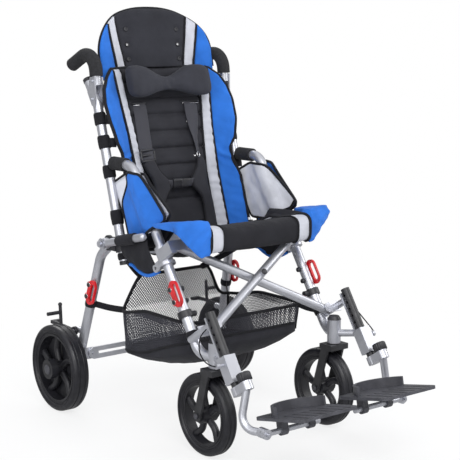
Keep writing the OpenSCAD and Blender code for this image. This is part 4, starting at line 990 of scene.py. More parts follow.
# %% A rounded run
def smooth_path(points, steps=8):
    """A rounded run that passes through each of a few points."""
    pts = [Vector(p) for p in points]
    pts = [2 * pts[0] - pts[1]] + pts + [2 * pts[-1] - pts[-2]]
    out = []
    for i in range(1, len(pts) - 2):
        a, b, c, d = pts[i - 1:i + 3]
        for k in range(steps):
            t = k / steps
            out.append(0.5 * (2 * b + (c - a) * t + (2 * a - 5 * b + 4 * c - d) * t * t
                              + (3 * b - 3 * c + d - a) * t ** 3))
    return out + [pts[-2]]

def run_length(run):
    return sum((Vector(a) - Vector(b)).length for a, b in zip(run, run[1:]))
quarter = smooth_path([(0, 0, 0), (70, 30, 0), (100, 100, 0)])
print("a rounded quarter turn runs", round(run_length(quarter)), "mm")

# %% [markdown]
# ### Flat webbing
# Webbing is wide, thin and rounded at its edges. A plane with a solidify modifier would have sharp
# edges, so ten corners are set round the path at each step, and width or facing may change on the way.

# %% Flat webbing along a run
def strap(name, path, width, thick, finish, facing):
    """Flat webbing along a path, its face turned to the facing direction."""
    path = [Vector(p) for p in path]
    rings = []
    for i, p in enumerate(path):
        share = i / (len(path) - 1)
        run = (path[min(i + 1, len(path) - 1)] - path[max(i - 1, 0)]).normalized()
        face = Vector(facing(share) if callable(facing) else facing)
        face = (face - run * face.dot(run)).normalized()
        aside = run.cross(face)
        w = (width(share) if callable(width) else width) / 2
        h = thick / 2
        corners = [(-w, -h * 0.3), (-w * 0.96, -h), (0, -h), (w * 0.96, -h), (w, -h * 0.3),
                   (w, h * 0.3), (w * 0.96, h), (0, h), (-w * 0.96, h), (-w, h * 0.3)]
        rings.append([p + aside * u + face * v for u, v in corners])
    return skin(name, rings, finish)
print("webbing finish", finishes["webbing"].name)

# %% [markdown]
# ### Shoulder straps
# Each strap begins inside the back, behind the lip of its slot. The right one stays flat; the left one
# narrows and turns, because it is gathered into the small loop of the vest. Points are given by their
# distance off the quilting, so a strap keeps lying on the pad if the back is changed.

# %% Shoulder straps through their slots
quilting = 17.5
slot_x, slot_z, webbing_wide, webbing_thick = 82, 811, 41, 2.2
strap_facing = (0, -1, 0.28)

def pad_face(x, z, off):
    return (x, back_line(z) + sag_at(x) - quilting - off, z)

right_run = smooth_path([pad_face(-82, 812, -6), pad_face(-82, 806, 2), pad_face(-83, 780, 3.6),
                         pad_face(-85, 735, 3.6), pad_face(-88, 690, 5.5), pad_face(-89, 662, 6)], 6)
right_strap = strap("right_shoulder_strap", right_run, webbing_wide, webbing_thick, "webbing", strap_facing)
on_back(right_strap, "black_cloth", "harness")
left_run = smooth_path([pad_face(82, 812, -6), pad_face(82, 806, 2), pad_face(81, 780, 3.6),
                        pad_face(79, 735, 4), pad_face(78, 700, 6), pad_face(77, 678, 8)], 6)
left_strap = strap("left_shoulder_strap", left_run, lambda t: webbing_wide - 20 * ease((t - 0.35) / 0.55),
                   webbing_thick, "webbing", lambda t: (0.75 * ease((t - 0.4) / 0.5), -1, 0.28))
on_back(left_strap, "black_cloth")
for hand, side in hands:
    slot_path = [pad_face(side * slot_x + dx, slot_z, 1.2) for dx in rise(-25, 25, 5)]
    on_back(bead("strap_slot_" + hand, slot_path, 3.2, "black_plastic", flat=0.6), "black_plastic")
    lip = [pad_face(side * slot_x + dx, slot_z - 4.4, 2.0) for dx in rise(-22, 22, 4)]
    on_back(bead("strap_slot_lip_" + hand, lip, 1.1, "bright_metal"), "black_plastic")
print("straps run", round(run_length(right_run)), "and", round(run_length(left_run)), "mm")

# %% [markdown]
# ### Slider and loop
# The slider is a moulded frame with a bar across its middle that the webbing is woven over. It could
# be a box with two holes cut in it, but five round bars give it the soft edges of a moulding at once.
# The loop on the other side is bent wire, a plain ring.

# %% Ladder slider and metal loop
slider_x, slider_half = -88, 24.5
slider_bars = [(692, 3.4), (679, 2.6), (665, 3.4)]
for i, (z, r) in enumerate(slider_bars):
    line = [pad_face(slider_x + dx, z, 8.2 + 0.8 * (i != 1)) for dx in rise(-25, 25, 5)]
    on_back(bead(f"slider_bar_{i}", line, r, "black_plastic"), "black_plastic")
for i, dx in enumerate((-slider_half, slider_half)):
    line = [pad_face(slider_x + dx, z, 8.6) for z in rise(665, 692, 4)]
    on_back(bead(f"slider_side_{i}", line, 2.8, "black_plastic", up=(0, 1, 0)), "black_plastic")
wire_loop = ring_of("vest_loop", pad_face(76, 672, 9), (0.5, -1, 0.3), 7, 1.5, "bright_metal", 28, 10)
on_back(wire_loop, "black_metal")
print("slider bars", len(slider_bars) + 2)

# %% [markdown]
# ### The butterfly vest
# The vest is two soft halves. Their inner edges come in to the buckle and curve apart above and below
# it. Both are cut from the same tables except at the top: the right half stays broad under its slider,
# the left one tapers to its loop. A mirror modifier would have made both alike, so each half reads its
# own neck and side lines.

# %% Cutting lines of the vest
vest_out = [(500, 97), (550, 92), (578, 87), (600, 85), (620, 88), (640, 98), (666, 109)]
vest_in = [(500, 64), (540, 64), (560, 61), (575, 53), (585, 44), (592, 37), (612, 36), (622, 45),
           (635, 57), (650, 63), (666, 67)]
vest_out_left = vest_out[:5] + [(640, 92), (654, 91), (662, 88), (667, 83)]
vest_in_left = vest_in[:9] + [(640, 62), (655, 69), (667, 73)]
vest_cut = {"right": (vest_in, vest_out), "left": (vest_in_left, vest_out_left)}
vest_lift = [(500, 8), (530, 12), (570, 17), (605, 17), (640, 13), (666, 10)]
vest_low, vest_top = 486, 666

def vest_line(z):
    return back_line(z) - along(vest_lift, z)

def vest_face(x, z, s):
    swell = 9.5 * round_edge(s, 0.35) + 0.8 * lump(x, 0, z, 22, 8)
    return vest_line(z) + 4 - swell
print("vest", vest_top - vest_low, "mm high")

# %% [markdown]
# ### Sewing the vest
# Each half is a thin pad with a tape hem on its neck and its outer side. The hems lie a little behind
# the front face, as a folded tape does. Two small bright studs sit beside the left strap. A panel is
# used once more, since the vest too is wadding between two seams.

# %% Vest halves, hems and studs
for hand, side in hands:
    neck_line, side_line = vest_cut[hand]
    lo, hi = across(side, lambda z: along(neck_line, z), lambda z: along(side_line, z))
    half = panel("vest_" + hand, lo, hi, rise(vest_low, vest_top, 2.4), vest_face,
                 lambda x, z: vest_line(z) + 5, "back_cloth", 16)
    on_back(half, "black_cloth")
    for part, table in (("neck", neck_line), ("side", side_line)):
        hem = [(side * along(table, z), vest_line(z) + 1.5, z) for z in rise(vest_low + 1, vest_top - 1, 4)]
        taped(f"vest_{part}_hem_{hand}", hem, 2.3, up=(1, 0, 0))
for i, (x, z) in enumerate(((66, 758), (70, 668))):
    stud = button(f"strap_stud_{i}", pad_face(x, z, 1.5), (0, -1, 0.29), 3.0, 1.4, "bright_metal", dome=0.4)
    on_back(stud, "black_metal")
print("vest halves sewn")

# %% [markdown]
# ### The chest buckle
# A side-release buckle: a ribbed socket on the right and a tapered plug on the left, with a short
# tongue of webbing behind each. A cube with a bevel would do; a box lofted from squared rings gives
# rounded edges and the taper in one go.

# %% Side-release chest buckle
buckle_y, buckle_z, buckle_deep, buckle_high = 216, 604, 12, 25

def rounded_box(name, centre, size, soft, finish, taper=1.0, points=24):
    """A moulded block with rounded edges, lofted along X; taper narrows its far end."""
    cx, cy, cz = centre
    w, d, h = (v / 2 for v in size)
    rings = []
    for t, pull in ((-1, 0.82), (-0.97, 0.93), (-0.9, 1), (0.9, 1), (0.97, 0.93), (1, 0.82)):
        grow = pull * (1 + (taper - 1) * (t + 1) / 2)
        rings.append([(cx + w * t, cy + d * pull * full(math.cos(a), soft),
                       cz + h * grow * full(math.sin(a), soft))
                      for a in (math.tau * k / points for k in range(points))])
    return skin(name, rings, finish)

for name, at, size, taper in (("buckle_socket", -14, 30, 1.0), ("buckle_plug", 14, 26, 0.86)):
    block = rounded_box(name, (at, buckle_y, buckle_z), (size, buckle_deep, buckle_high), 0.45,
                        "black_plastic", taper)
    on_back(block, "black_plastic", "chest_buckle")
ridges = 7
for i in range(ridges):
    ridge = [(-25 + i * 3.4, buckle_y - 6.4, buckle_z + dz) for dz in rise(-9, 9, 3)]
    on_back(bead(f"buckle_ridge_{i}", ridge, 0.9, "black_plastic", up=(1, 0, 0)), "black_plastic")
for hand, side in hands:
    tail = [(side * x, buckle_y + 1.5 + (x - 27) * 0.1, buckle_z) for x in rise(26, 46, 4)]
    on_back(strap("buckle_webbing_" + hand, tail, 20, webbing_thick, "webbing", (0, -1, 0)), "black_cloth")
print("buckle ridges", ridges)

# %% [markdown]
# ## The sling seat
# The seat is slung between the two rails. Its front edge is a fat padded roll, black in the middle,
# with a grey stripe and a blue pointed end on each side; behind the roll the seat sags into a shallow
# dish. Each colour is its own pad along the roll, so the piping sits in real grooves. The black and
# grey pads share one section, so that neighbours meet; its underside is lifted off the ends of the
# cross tubes.

# %% The seat's section
seat_front, seat_rear, seat_long = -115.3, 197.7, 313
seat_square, roll_from, roll_run, end_from, end_run = 0.55, 0.72, 0.28, 180, 56
seat_thick, seat_thin, roll_thick = 20, 12, 29
seat_z, seat_climb, roll_drop, dish_deep = 470, 63, 28, 46
tube_clear_x, tube_clear_slope = 112, 0.66

def seat_point(x, a, swell=0.0):
    """A place on the seat's skin: across the seat by x, round its section by the angle a."""
    wide = abs(x)
    out = min(1, max(0, (wide - end_from) / end_run))
    front = seat_front + 14 * out * out
    rear = seat_rear - 187 * ease((wide - 166) / 26)
    y = rear + (front - rear) * (1 - full(math.cos(a), seat_square)) / 2
    run = (seat_rear - y) / seat_long
    roll = ease((run - roll_from) / roll_run)
    thick = seat_thin + roll_thick * roll
    if run < roll_from:
        thick = seat_thick - (seat_thick - seat_thin) * run / roll_from
    lift = 5 * ease((wide - 70) / 85) * roll
    high = thick * (1 - 0.84 * out ** 3) + swell + lift
    sag = dish_deep * (1 - min(1, wide / end_from) ** 2) * (1 - ease(run / 0.8))
    mid = seat_z + seat_climb * run - roll_drop * roll * (1 - out) - sag + 16 * out + lift
    z = mid + high * full(math.sin(a), seat_square)
    clear_front = -99.3 if wide > end_from else -87.3
    if clear_front < y < 72.7 and wide > tube_clear_x:
        over_tube_ends = min(532, 484 + (wide - tube_clear_x) * tube_clear_slope)
        z = max(z, over_tube_ends + 8 * (1 + full(math.sin(a), seat_square)) / 2)
    return (x, y, z)
top, under = seat_point(0, math.radians(90)), seat_point(0, math.radians(270))
print("seat is", round(top[2] - under[2]), "mm thick half way back")

# %% [markdown]
# ### Seat pads
# Every pad is the same section carried across the seat. It is a little thinner at its two ends, where
# the piping lies in the groove between two pads, and its cloth is lumpy like a well used cushion. One
# long pad would be less work, but then the grooves would have to be cut into it.

# %% One pad of the seat
seat_fold = ((1, 0, 0), (0, 0, 0.5), 0.4)

def seat_pad(name, x0, x1, finish, fold, count=None, points=72):
    count = count or max(6, round(abs(x1 - x0) / 4))
    rings = []
    for i in range(count + 1):
        c = i / count
        x = x0 + (x1 - x0) * c
        groove = 1.0 - 2.5 * math.exp(-min(c, 1 - c) * abs(x1 - x0) / 5)
        ring = []
        for k in range(points):
            a = math.tau * k / points
            px, py, pz = seat_point(x, a)
            swell = groove + fold * lump(px, py, pz, 24, 9) + 0.6 * fold * lump(px * 3, py, pz, 20, 2)
            ring.append((px, py, seat_point(x, a, swell)[2]))
        rings.append(ring)
    return skin(name, rings, finish)

print("seat folds to", seat_fold[2], "of its width")

# %% [markdown]
# ### Sewing the seat
# Five pads lie side by side from rail to rail: the black middle, two grey stripes and two black sides.
# Piping closes each groove; it is thicker on the outside, where the blue ends are sewn on. The sides
# are cut off in front, because the blue ends hang there.

# %% Middle, stripes and sides of the seat
seat_middle = seat_pad("seat_middle", -115, 115, "black_cloth", 1.6)
settle(seat_middle, "seat", "black_cloth", "seat_sling", squash=seat_fold)
side_front, side_low = -0.072, 0.52
for hand, side in hands:
    stripe = seat_pad("seat_stripe_" + hand, side * 118, side * 155, "grey_cloth", 1.4)
    settle(stripe, "seat", "blue_cloth", squash=seat_fold)
    beside_leg = seat_pad("seat_side_" + hand, side * 158, side * 190, "black_cloth", 1.2, 12)
    for vertex in beside_leg.data.vertices:
        if vertex.co.y < side_front:
            vertex.co.y, vertex.co.z = side_front, max(vertex.co.z, side_low)
    settle(beside_leg, "seat", "black_cloth", squash=seat_fold)
    for part, x, r in (("inner", 116.5, 2.8), ("outer", 155.5, 4.4)):
        loop = [seat_point(side * x, math.tau * k / 60, 1.4) for k in range(61)]
        taped(f"seat_piping_{part}_{hand}", loop, r, "seat", seat_fold, up=(1, 0, 0))
print("seat pads", 5)

# %% [markdown]
# ### Pointed ends of the seat
# Beside the roll the blue cloth lies over the rail, turns down in front of it and comes to a point. A
# cloth simulation would hang it, but it would hang differently each time the seat is changed. So the
# section is drawn as a hook with ten corners and rounded; the two ends hang at their own heights.

# %% Hook-shaped sections
end_top = [(158, 556), (180, 559), (236, 560)]
end_low = [(158, 473), (180, 476), (192, 487), (205, 500), (220, 514), (237, 530)]
hang = {"right": -8, "left": 10}

def eased_loop(line, times):
    """A closed line with its corners rounded by averaging each point with its neighbours."""
    for _ in range(times):
        line = [(line[i - 1] + line[i] * 2 + line[(i + 1) % len(line)]) / 4 for i in range(len(line))]
    return line

def closed_line(corners, steps):
    """Even steps round a closed row of corners."""
    line = []
    for i, q in enumerate(corners):
        after = corners[(i + 1) % len(corners)]
        line += [Vector(q).lerp(Vector(after), k / steps) for k in range(steps)]
    return line

def end_ring(x, hand):
    """A hook-shaped section: a top that lies over the rail and a front that hangs before it."""
    turned = 9 * (1 - math.sqrt(1 - min(1, max(0, (x - 224) / 14)) ** 2))
    front = -114 + 14 * ((x - 158) / 78) ** 2 + turned
    top = along(end_top, x) - 0.6 * turned
    low = (along(end_low, x) + 0.5 * turned
           + hang[hand] * ease((x - 162) / 26) * (1 - 0.6 * ease((x - 212) / 24)))
    under = max(low + 3, min(534, 485 + (x - tube_clear_x) * tube_clear_slope))
    back = max(front + 34, 14 - 92 * (1 - ease((x - 166) / 50))) - turned
    corners = [(back, top - 0.15 * (back - front)), (front + 24, top - 1), (front + 8, top),
               (front - 1, top - 10), (front - 4, (top + low) / 2), (front + 1, low), (front + 10, low + 1),
               (front + 12, min(under - 1, low + 9)), (front + 14, under), (back, under)]
    return eased_loop(closed_line(corners, 8), 3), front
print("end section points", len(end_ring(200, "right")[0]))

# %% [markdown]
# ### Sewing the ends
# The hooks are skinned from the stripe out to the point, with folds that run down the hanging front
# and lie flat on top. A thin blue edge under the roll's middle closes the seat.

# %% Pointed blue ends
for hand, side in hands:
    rings = []
    for x in rise(158, 224, 3.3) + rise(226, 238, 1.5):
        line, front = end_ring(x, hand)
        ring = []
        for q in line:
            fold = (1.8 * lump(x * side, q.x, q.y, 26, 6)
                    + 1.0 * math.sin((q.y + x * 0.8) / 6 + 3 * lump(x, q.x, q.y, 34)))
            face = ease((front + 24 - q.x) / 16)
            ring.append((side * (x + 0.5 * fold * face), q.x - fold * face, q.y + 0.7 * fold * (1 - face)))
        rings.append(ring)
    end = skin("seat_end_" + hand, rings, "blue_cloth")
    settle(end, "seat", "blue_cloth", squash=seat_fold)
edge = [seat_point(x, math.radians(246), 1.0) for x in rise(-112, 112, 8)]
settle(bead("seat_blue_edge", edge, 2.6, "blue_cloth"), "seat", "blue_cloth", squash=seat_fold)
print("seat ends", len(rings), "sections each")

# %% [markdown]
# ## Side guards
# A blue padded guard is slipped over each leg tube under the armrest, grey on its inner face. The
# tube shows as a ridge under the cloth, and black tape binds both edges. A flat shape could be
# extruded and inflated, but then the ridge would have to be sculpted. Here the distance from the
# tube's middle line says how far the cloth stands off.

# %% Cloth laid over a leaning tube
lean = math.radians(33)
leg_x, leg_y, leg_z = 203, -65.33, 345
ridge_half, ridge_high, ridge_run, flat_off = 9, 11.5, 17, 4

def behind_leg(y, z):
    """How far a place lies behind the leaning leg tube."""
    return (y - leg_y) * math.cos(lean) - (z - leg_z) * math.sin(lean)

def over_tube(y, z):
    """How far the cloth stands off the tube's middle plane: over the tube near it, flat away from it."""
    away = max(0.0, abs(behind_leg(y, z)) - ridge_half)
    return flat_off + ridge_high * math.exp(-(away / ridge_run) ** 2)

print("cloth stands", round(over_tube(leg_y, leg_z), 1), "mm off the tube's middle")

# %% [markdown]
# ### A pad drawn from its outline
# A guard has no seams to hang between, only an outline. Copies of the outline shrink towards its
# middle, first on the face against the tube and then on the padded one; filling the outline with one
# flat face would leave nothing to bend over the tube.

# %% Shrinking outlines
rear_shares = (0.05, 0.3, 0.6, 0.85, 1.0)
face_shares = (0.985, 0.95, 0.9, 0.8, 0.7, 0.6, 0.5, 0.4, 0.3, 0.2, 0.1, 0.03)

def guard_pad(name, corners, side, outward, bulge, finish):
    line = eased_loop(closed_line(corners, 10), 2)
    mid = sum(line, Vector((0, 0))) / len(line)
    rings = []
    for share, face in [(s, 0) for s in rear_shares] + [(s, 1) for s in face_shares]:
        ring = []
        for p in line:
            y, z = mid + (p - mid) * share
            pull = math.sin((y * 0.8 - z * 0.6) / 7 + 3 * lump(side * leg_x, y, z, 40, 2))
            creased = 2.2 * lump(side * leg_x, y, z, 30, 5) + 0.8 * pull
            puff = bulge * (1 - share ** 4) + (1 - share ** 3) * creased
            x = leg_x + outward * (over_tube(y, z) + (2 + puff if face else 0))
            ring.append((side * x, y, z))
        rings.append(ring)
    return skin(name, rings, finish), line
print("outlines", len(rear_shares + face_shares))

# %% [markdown]
# ### Cutting the guards
# The outer and inner faces have their own outlines, given by eight corners each and rounded. When the
# buggy is folded the sleeve slides up the leg and the guard has to give way; a squash along the leg
# towards its upper end is given for it, but not applied.

# %% Guards drawn from their outline
outer_cut = [(141, 655), (100, 651), (0, 562), (2, 548), (60, 514), (136, 470), (150, 478), (184, 572)]
inner_cut = [(176, 648), (106, 649), (-10, 568), (8, 544), (110, 504), (168, 502), (230, 594), (246, 614)]
# the inner faces wear the grey cloth made lighter, as painted light on faces that stand in shade
guard_faces = (("outer", outer_cut, 1, 7, "blue_cloth"), ("inner", inner_cut, -1, 4, "grey_cloth_painted_lighter"))
for hand, side in hands:
    guard_fold = ((0, 0.5446, 0.8387), (side * 0.203, 0.1445, 0.668), 0.2)
    for part, cut, outward, bulge, finish in guard_faces:
        pad, line = guard_pad(f"guard_{part}_{hand}", cut, side, outward, bulge, finish)
        settle(pad, hand + "_frame", "blue_cloth", hand + "_side_panel", squash=guard_fold)
        hem = [(side * (leg_x + outward * (over_tube(*p) + 1.5)), p[0], p[1]) for p in line + line[:2]]
        taped(f"guard_{part}_binding_{hand}", hem, 3.6, hand + "_frame", guard_fold, up=(1, 0, 0))
print("guard faces", 2 * len(guard_faces))

# %% [markdown]
# ## Bands and wraps
# Black cloth bands close round each cane and hold the back; a padded wrap covers each seat rail where
# the seat's cloth is folded round it. A cylinder with thickness would look like a pipe, so a sleeve is
# a lengthwise strip carried round the tube, and small wrinkles keep it from looking turned.

# %% Sleeves of cloth round a tube
def sleeve(name, a, b, inner, outer, finish, sides=28, wrinkle=0.5):
    """A cloth band round a straight tube between two points, open in the middle."""
    a, b = Vector(a), Vector(b)
    run, u, v = square_to(b - a)
    long = (b - a).length
    count = max(4, round(long / 4))
    rings = []
    for k in range(sides + 1):
        t = math.tau * (k % sides) / sides
        out = u * math.cos(t) + v * math.sin(t)
        ring = [a + out * inner, a + out * (outer - 0.8)]
        for j in range(1, count):
            p = a + run * (long * j / count)
            r = outer + wrinkle * lump(*(p + out * outer), 9, 3) + 0.6 * math.sin(math.pi * j / count)
            ring.append(p + out * r)
        ring += [b + out * (outer - 0.8), b + out * inner]
        rings.append(ring)
    return skin(name, rings, finish, closed_ends=False)

cane_foot, cane_bend = Vector((205, cane_y, cane_z)), Vector((205, 296.67, 812))
cane_run = (cane_bend - cane_foot).normalized()

def on_cane(side, z):
    p = cane_foot + cane_run * ((z - cane_z) / cane_run.z)
    return Vector((side * p.x, p.y, p.z))
print("straight cane", round((cane_bend - cane_foot).length), "mm")

# %% [markdown]
# ### Bands on the canes, wraps on the rails
# Four bands sit on each cane at the heights where the back is tied. They are rigid with the cane, but
# the wrap belongs to the rail, like the seat that is sewn to it.

# %% Cane bands and rail wraps
rail_x, rail_y, rail_z = 236, 54.67, 505
round_tube, band_outer = 12.9, 15.4
band_heights = ((791, 761), (734, 702), (660, 629), (549, 514))

def rail_fold(side):
    return ((1, 0, 0), (side * 0.236, 0, 0.48), 0.35)

for hand, side in hands:
    for i, (top, low) in enumerate(band_heights):
        band = sleeve(f"cane_band_{hand}_{i}", on_cane(side, top), on_cane(side, low), round_tube, band_outer,
                      "binding_tape")
        settle(band, hand + "_frame", "black_cloth", hand + "_bands")
    rail_a, rail_b = Vector((side * rail_x, rail_y, rail_z)), Vector((side * rail_x, 227.67, 466))
    along_rail = (rail_b - rail_a).normalized()
    wrap = sleeve(f"rail_wrap_{hand}", rail_a + along_rail * 32, rail_a + along_rail * 110, 10.6, 13.6,
                  "black_cloth", wrinkle=1.2)
    settle(wrap, hand + "_rail", "black_cloth", hand + "_rail_wrap", squash=rail_fold(side))
print("bands", 2 * len(band_heights), "wraps", 2)

# %% [markdown]
# ## The mesh basket
# The basket under the seat is a sewn tub: an open net above, so that a carer sees what is in it, and
# a solid black floor that sags. All its pieces lie on one wall, so the wall is drawn first as a rule
# that turns an angle and a share of the height into a place: a rounded box that widens upwards, with
# a rear wall that rises as a lopsided flap.

# %% The tub's lines
tub_wide, tub_long, tub_mid = 186, 158, 94
tub_rear, tub_square = tub_mid + tub_long, 9
floor_high, floor_low = 172, 138
rim_high, rim_drop, flap_high, flap_lean = 303, 22, 92, 34

def floor_rise(y):
    return 64 * ((tub_rear - y) / (2 * tub_long)) ** 2

def tub(turn, share, inset=0.0):
    """A place on the wall: round the tub by turn, up it by share; the rear wall rises as a flap."""
    c, s = math.cos(turn), math.sin(turn)
    square = (abs(c) ** tub_square + abs(s) ** tub_square) ** (1 / tub_square)
    grow = 0.97 + 0.03 * ease(share)
    x, y = (tub_wide - inset) * grow * c / square, tub_mid + (tub_long - inset) * grow * s / square
    tall = ease((s / square - 0.2) / 0.7) * (1 - ease((-x - 130) / 52 if x < 0 else (x - 74) / 90))
    low = floor_high + floor_rise(y) + inset
    rim = rim_high - rim_drop * ease((y - 100) / 140) + flap_high * tall
    return Vector((x, y - flap_lean * tall * share ** 2, low + (rim - low) * share))

def net_from(turn):
    """The share of the wall where the solid floor cloth ends and the net begins."""
    return 0.06 + 0.26 * ease((0.6 - math.sin(turn)) / 1.5)

turns = 420
angle = [math.tau * k / turns for k in range(turns)]
print("flap stands", round(max(tub(t, 1).z for t in angle) - tub(-math.pi / 2, 1).z), "mm over the front rim")

# %% [markdown]
# ### The basket's floor
# The floor is one piece of strong cloth that bags out under its load and is turned up at the walls.
# Cloth could be dropped on a load, but the load isn't part of the buggy. Rings from the middle out,
# each a bit higher, give the same bag, and a second set two millimetres inside gives it thickness.

# %% Sagging floor
basket_fold = ((1, 0, 0), (0, 0, 0.3), 0.45)
floor_rings, wall_rings, floor_thick = 5, 6, 2.0

def pan_point(turn, j, inset):
    """The floor cloth: rings of sagging floor, then rings up the wall."""
    wall = tub(turn, net_from(turn) * max(0, j - floor_rings) / wall_rings, inset)
    if j >= floor_rings:
        return wall + Vector((0, 0, 0.8 * lump(wall.x, wall.y, wall.z, 30, 4)))
    pull = 0.1 + 0.9 * j / floor_rings
    x, y = wall.x * pull, tub_mid + (wall.y - tub_mid) * pull
    sag = floor_low + floor_rise(y) + (floor_high - floor_low) * (j / floor_rings) ** 3 + inset
    return Vector((x, y, sag + 2.4 * lump(x, y, 0, 34, 4)))

steps = range(floor_rings + wall_rings + 1)
rings = [[pan_point(t, j, 0.0) for t in angle] for j in steps]
rings += [[pan_point(t, j, floor_thick) for t in angle] for j in reversed(steps)]
pan = skin("basket_floor", rings, "back_cloth")
settle(pan, "centre", "black_cloth", "basket", squash=basket_fold)
print("floor sags to", round(min(p.z for p in rings[0])), "mm")

# %% [markdown]
# ### Knots of the net
# The net is made of real threads, so that light comes through it; a see-through picture would be
# lighter, but its holes would be only in the shader and not in the mesh. The knots form a diamond
# lattice: every other place of a grid, with rows a fixed height apart, so the holes keep their size
# where the wall is tall.

# %% A diamond lattice of knots
net_pitch = 4.6
wall_high = [(tub(t, 1) - tub(t, net_from(t))).length for t in angle]
rows = math.ceil(max(wall_high) / net_pitch) + 1

def knot_share(i, j):
    start = net_from(angle[i])
    return min(1.0, start + (1 - start) * j * net_pitch / wall_high[i])

knots, index = [], {}
for j in range(rows + 1):
    for i in range(turns):
        if (i + j) % 2 == 0:
            index[i, j] = len(knots)
            knots.append(tub(angle[i], knot_share(i, j)) / 1000)
cells = []
for j in range(1, rows):
    for i in range(turns):
        if (i + j) % 2 == 1 and knot_share(i, j) < 1:
            cells.append((index[(i - 1) % turns, j], index[i, j - 1],
                          index[(i + 1) % turns, j], index[i, j + 1]))
print("net cells", len(cells))

# %% [markdown]
# ### Threads of the net
# A wireframe modifier turns each edge of the lattice into a thread. A vertex group makes the threads
# of the lower wall finer, where the net is looked at against the dark floor.

# %% Net walls of knotted thread
net_mesh = bpy.data.meshes.new("basket_net")
net_mesh.from_pydata(knots, [], cells)
net_mesh.materials.append(finishes["mesh_thread"])
net = bpy.data.objects.new("basket_net", net_mesh)
scene.collection.objects.link(net)
fine_below, fine_share = 0.285, 0.66
stout = net.vertex_groups.new(name="thread")
for vertex in net_mesh.vertices:
    stout.add([vertex.index], 1.0 if vertex.co.z > fine_below else fine_share, "REPLACE")
threads = net.modifiers.new("threads", "WIREFRAME")
threads.thickness, threads.use_even_offset = 0.0031, False
threads.vertex_group = "thread"
bpy.context.view_layer.objects.active = net
bpy.ops.object.modifier_apply(modifier="threads")
settle(net, "centre", "mesh", "basket", squash=basket_fold)
print("net faces", len(net.data.polygons))

# %% [markdown]
# ### Binding round the tub
# Tape closes the rim and covers the seam where net meets floor, and it stiffens the four corners.
# Every line comes from the tub's own rule, so the tape cannot leave the wall.

# %% Rim, floor and corner tape
for name, share, r in (("basket_rim_binding", lambda t: 1.0, 4.2), ("basket_floor_binding", net_from, 3.4)):
    line = [tub(t, share(t)) for t in angle + angle[:2]]
    taped(name, line, r, squash=basket_fold)
corners = (45, 135, 225, 315)
for i, turn in enumerate(corners):
    line = [tub(math.radians(turn), s) for s in rise(0.1, 1.0, 0.06)]
    taped(f"basket_corner_binding_{i}", line, 3.2, squash=basket_fold, up=(1, 0, 0))
print("basket corners bound", len(corners))

# %% [markdown]
# ### Straps up to the frame
# The basket hangs by three straps on each side: to the front leg, to the cane and to the rear leg.
# Each ends in a loop of tape round its tube. The strap stops short of the tube's middle by the loop's
# radius, and it dips slightly, since a slack tape is never straight.

# %% Basket straps and their loops
up_leg = Vector((0, math.sin(lean), math.cos(lean)))
tape_wide, tape_thick, loop_half, loop_outer = 17, 2.0, 8.5, 14.9
for hand, side in hands:
    on_leg = Vector((side * leg_x, leg_y, leg_z)) + up_leg * ((288 - leg_z) / up_leg.z)
    on_rear_leg = Vector((side * 224.4, 316.2, 294))
    rear_leg_run = Vector((side * -0.0909, -0.2468, 0.9647))
    front_turn, top_turn, rear_turn = (-45, 70, 45) if side > 0 else (225, 126, 135)
    ties = (("front", tub(math.radians(front_turn), 1), on_leg, up_leg),
            ("top", tub(math.radians(top_turn), 1), on_cane(side, 435.6), cane_run),
            ("rear", tub(math.radians(rear_turn), 0.94), on_rear_leg, rear_leg_run))
    for part, start, end, axis in ties:
        way = (end - start).normalized()
        stop = end - way * 13.5
        run = smooth_path([start - way * 4, start.lerp(stop, 0.5) - Vector((0, 0, 2)), stop])
        facing = way.cross(Vector((0, 0, 1))).normalized()
        tape = strap(f"basket_strap_{part}_{hand}", run, tape_wide, tape_thick, "binding_tape", facing)
        settle(tape, hand + "_frame", "black_cloth", squash=((1, 0, 0), tuple(end / 1000), 0.5))
        loop = sleeve(f"basket_loop_{part}_{hand}", end - axis * loop_half, end + axis * loop_half,
                      round_tube, loop_outer, "binding_tape", wrinkle=0.2)
        settle(loop, hand + "_frame", "black_cloth")
print("basket hung by", 2 * len(ties), "straps")

# %% [markdown]
# ## Small things that hold it together
# Bolts through the red tie-down loops, tabs that tie the back to its bands, the cloth pouch that the
# seat's sides are folded into, and the cords that keep the footrest pins from getting lost. They are
# small, but an eye that knows such buggies misses them first.
#
# The pouch comes first. It hangs from the rail as a flat piece of cloth with a thick blue hem below.
# A simulated sheet would hang in a new way on each run, so the rows between rail and hem are drawn,
# bellied outwards and wrinkled.

# %% Rows of a pouch
rail_slope = 0.2254
pouch_rows, pouch_points, pouch_thick = 28, 14, 2.2

def rail_height(y):
    return rail_z - (y - rail_y) * rail_slope

def pouch_row(c):
    """Points from the rail down to the hem, at a share of the pouch's length."""
    top = Vector((228, 48 + 118 * c, rail_height(48 + 118 * c) - 9))
    low = Vector((204, 30 + 128 * c, 424 - 18 * math.sin(math.pi * min(1, c * 1.1)) - 2 * c))
    row = []
    for j in range(pouch_points + 1):
        t = j / pouch_points
        p = top.lerp(low, t) + Vector((9 * math.sin(math.pi * t), 0, 0))
        p.x += 1.8 * lump(p.x, p.y, p.z, 26, 3) + 0.8 * math.sin(p.y / 6 + p.z / 11)
        row.append(p)
    return row, low
print("pouch hangs", round((pouch_row(0.5)[0][0] - pouch_row(0.5)[1]).length), "mm from the rail")
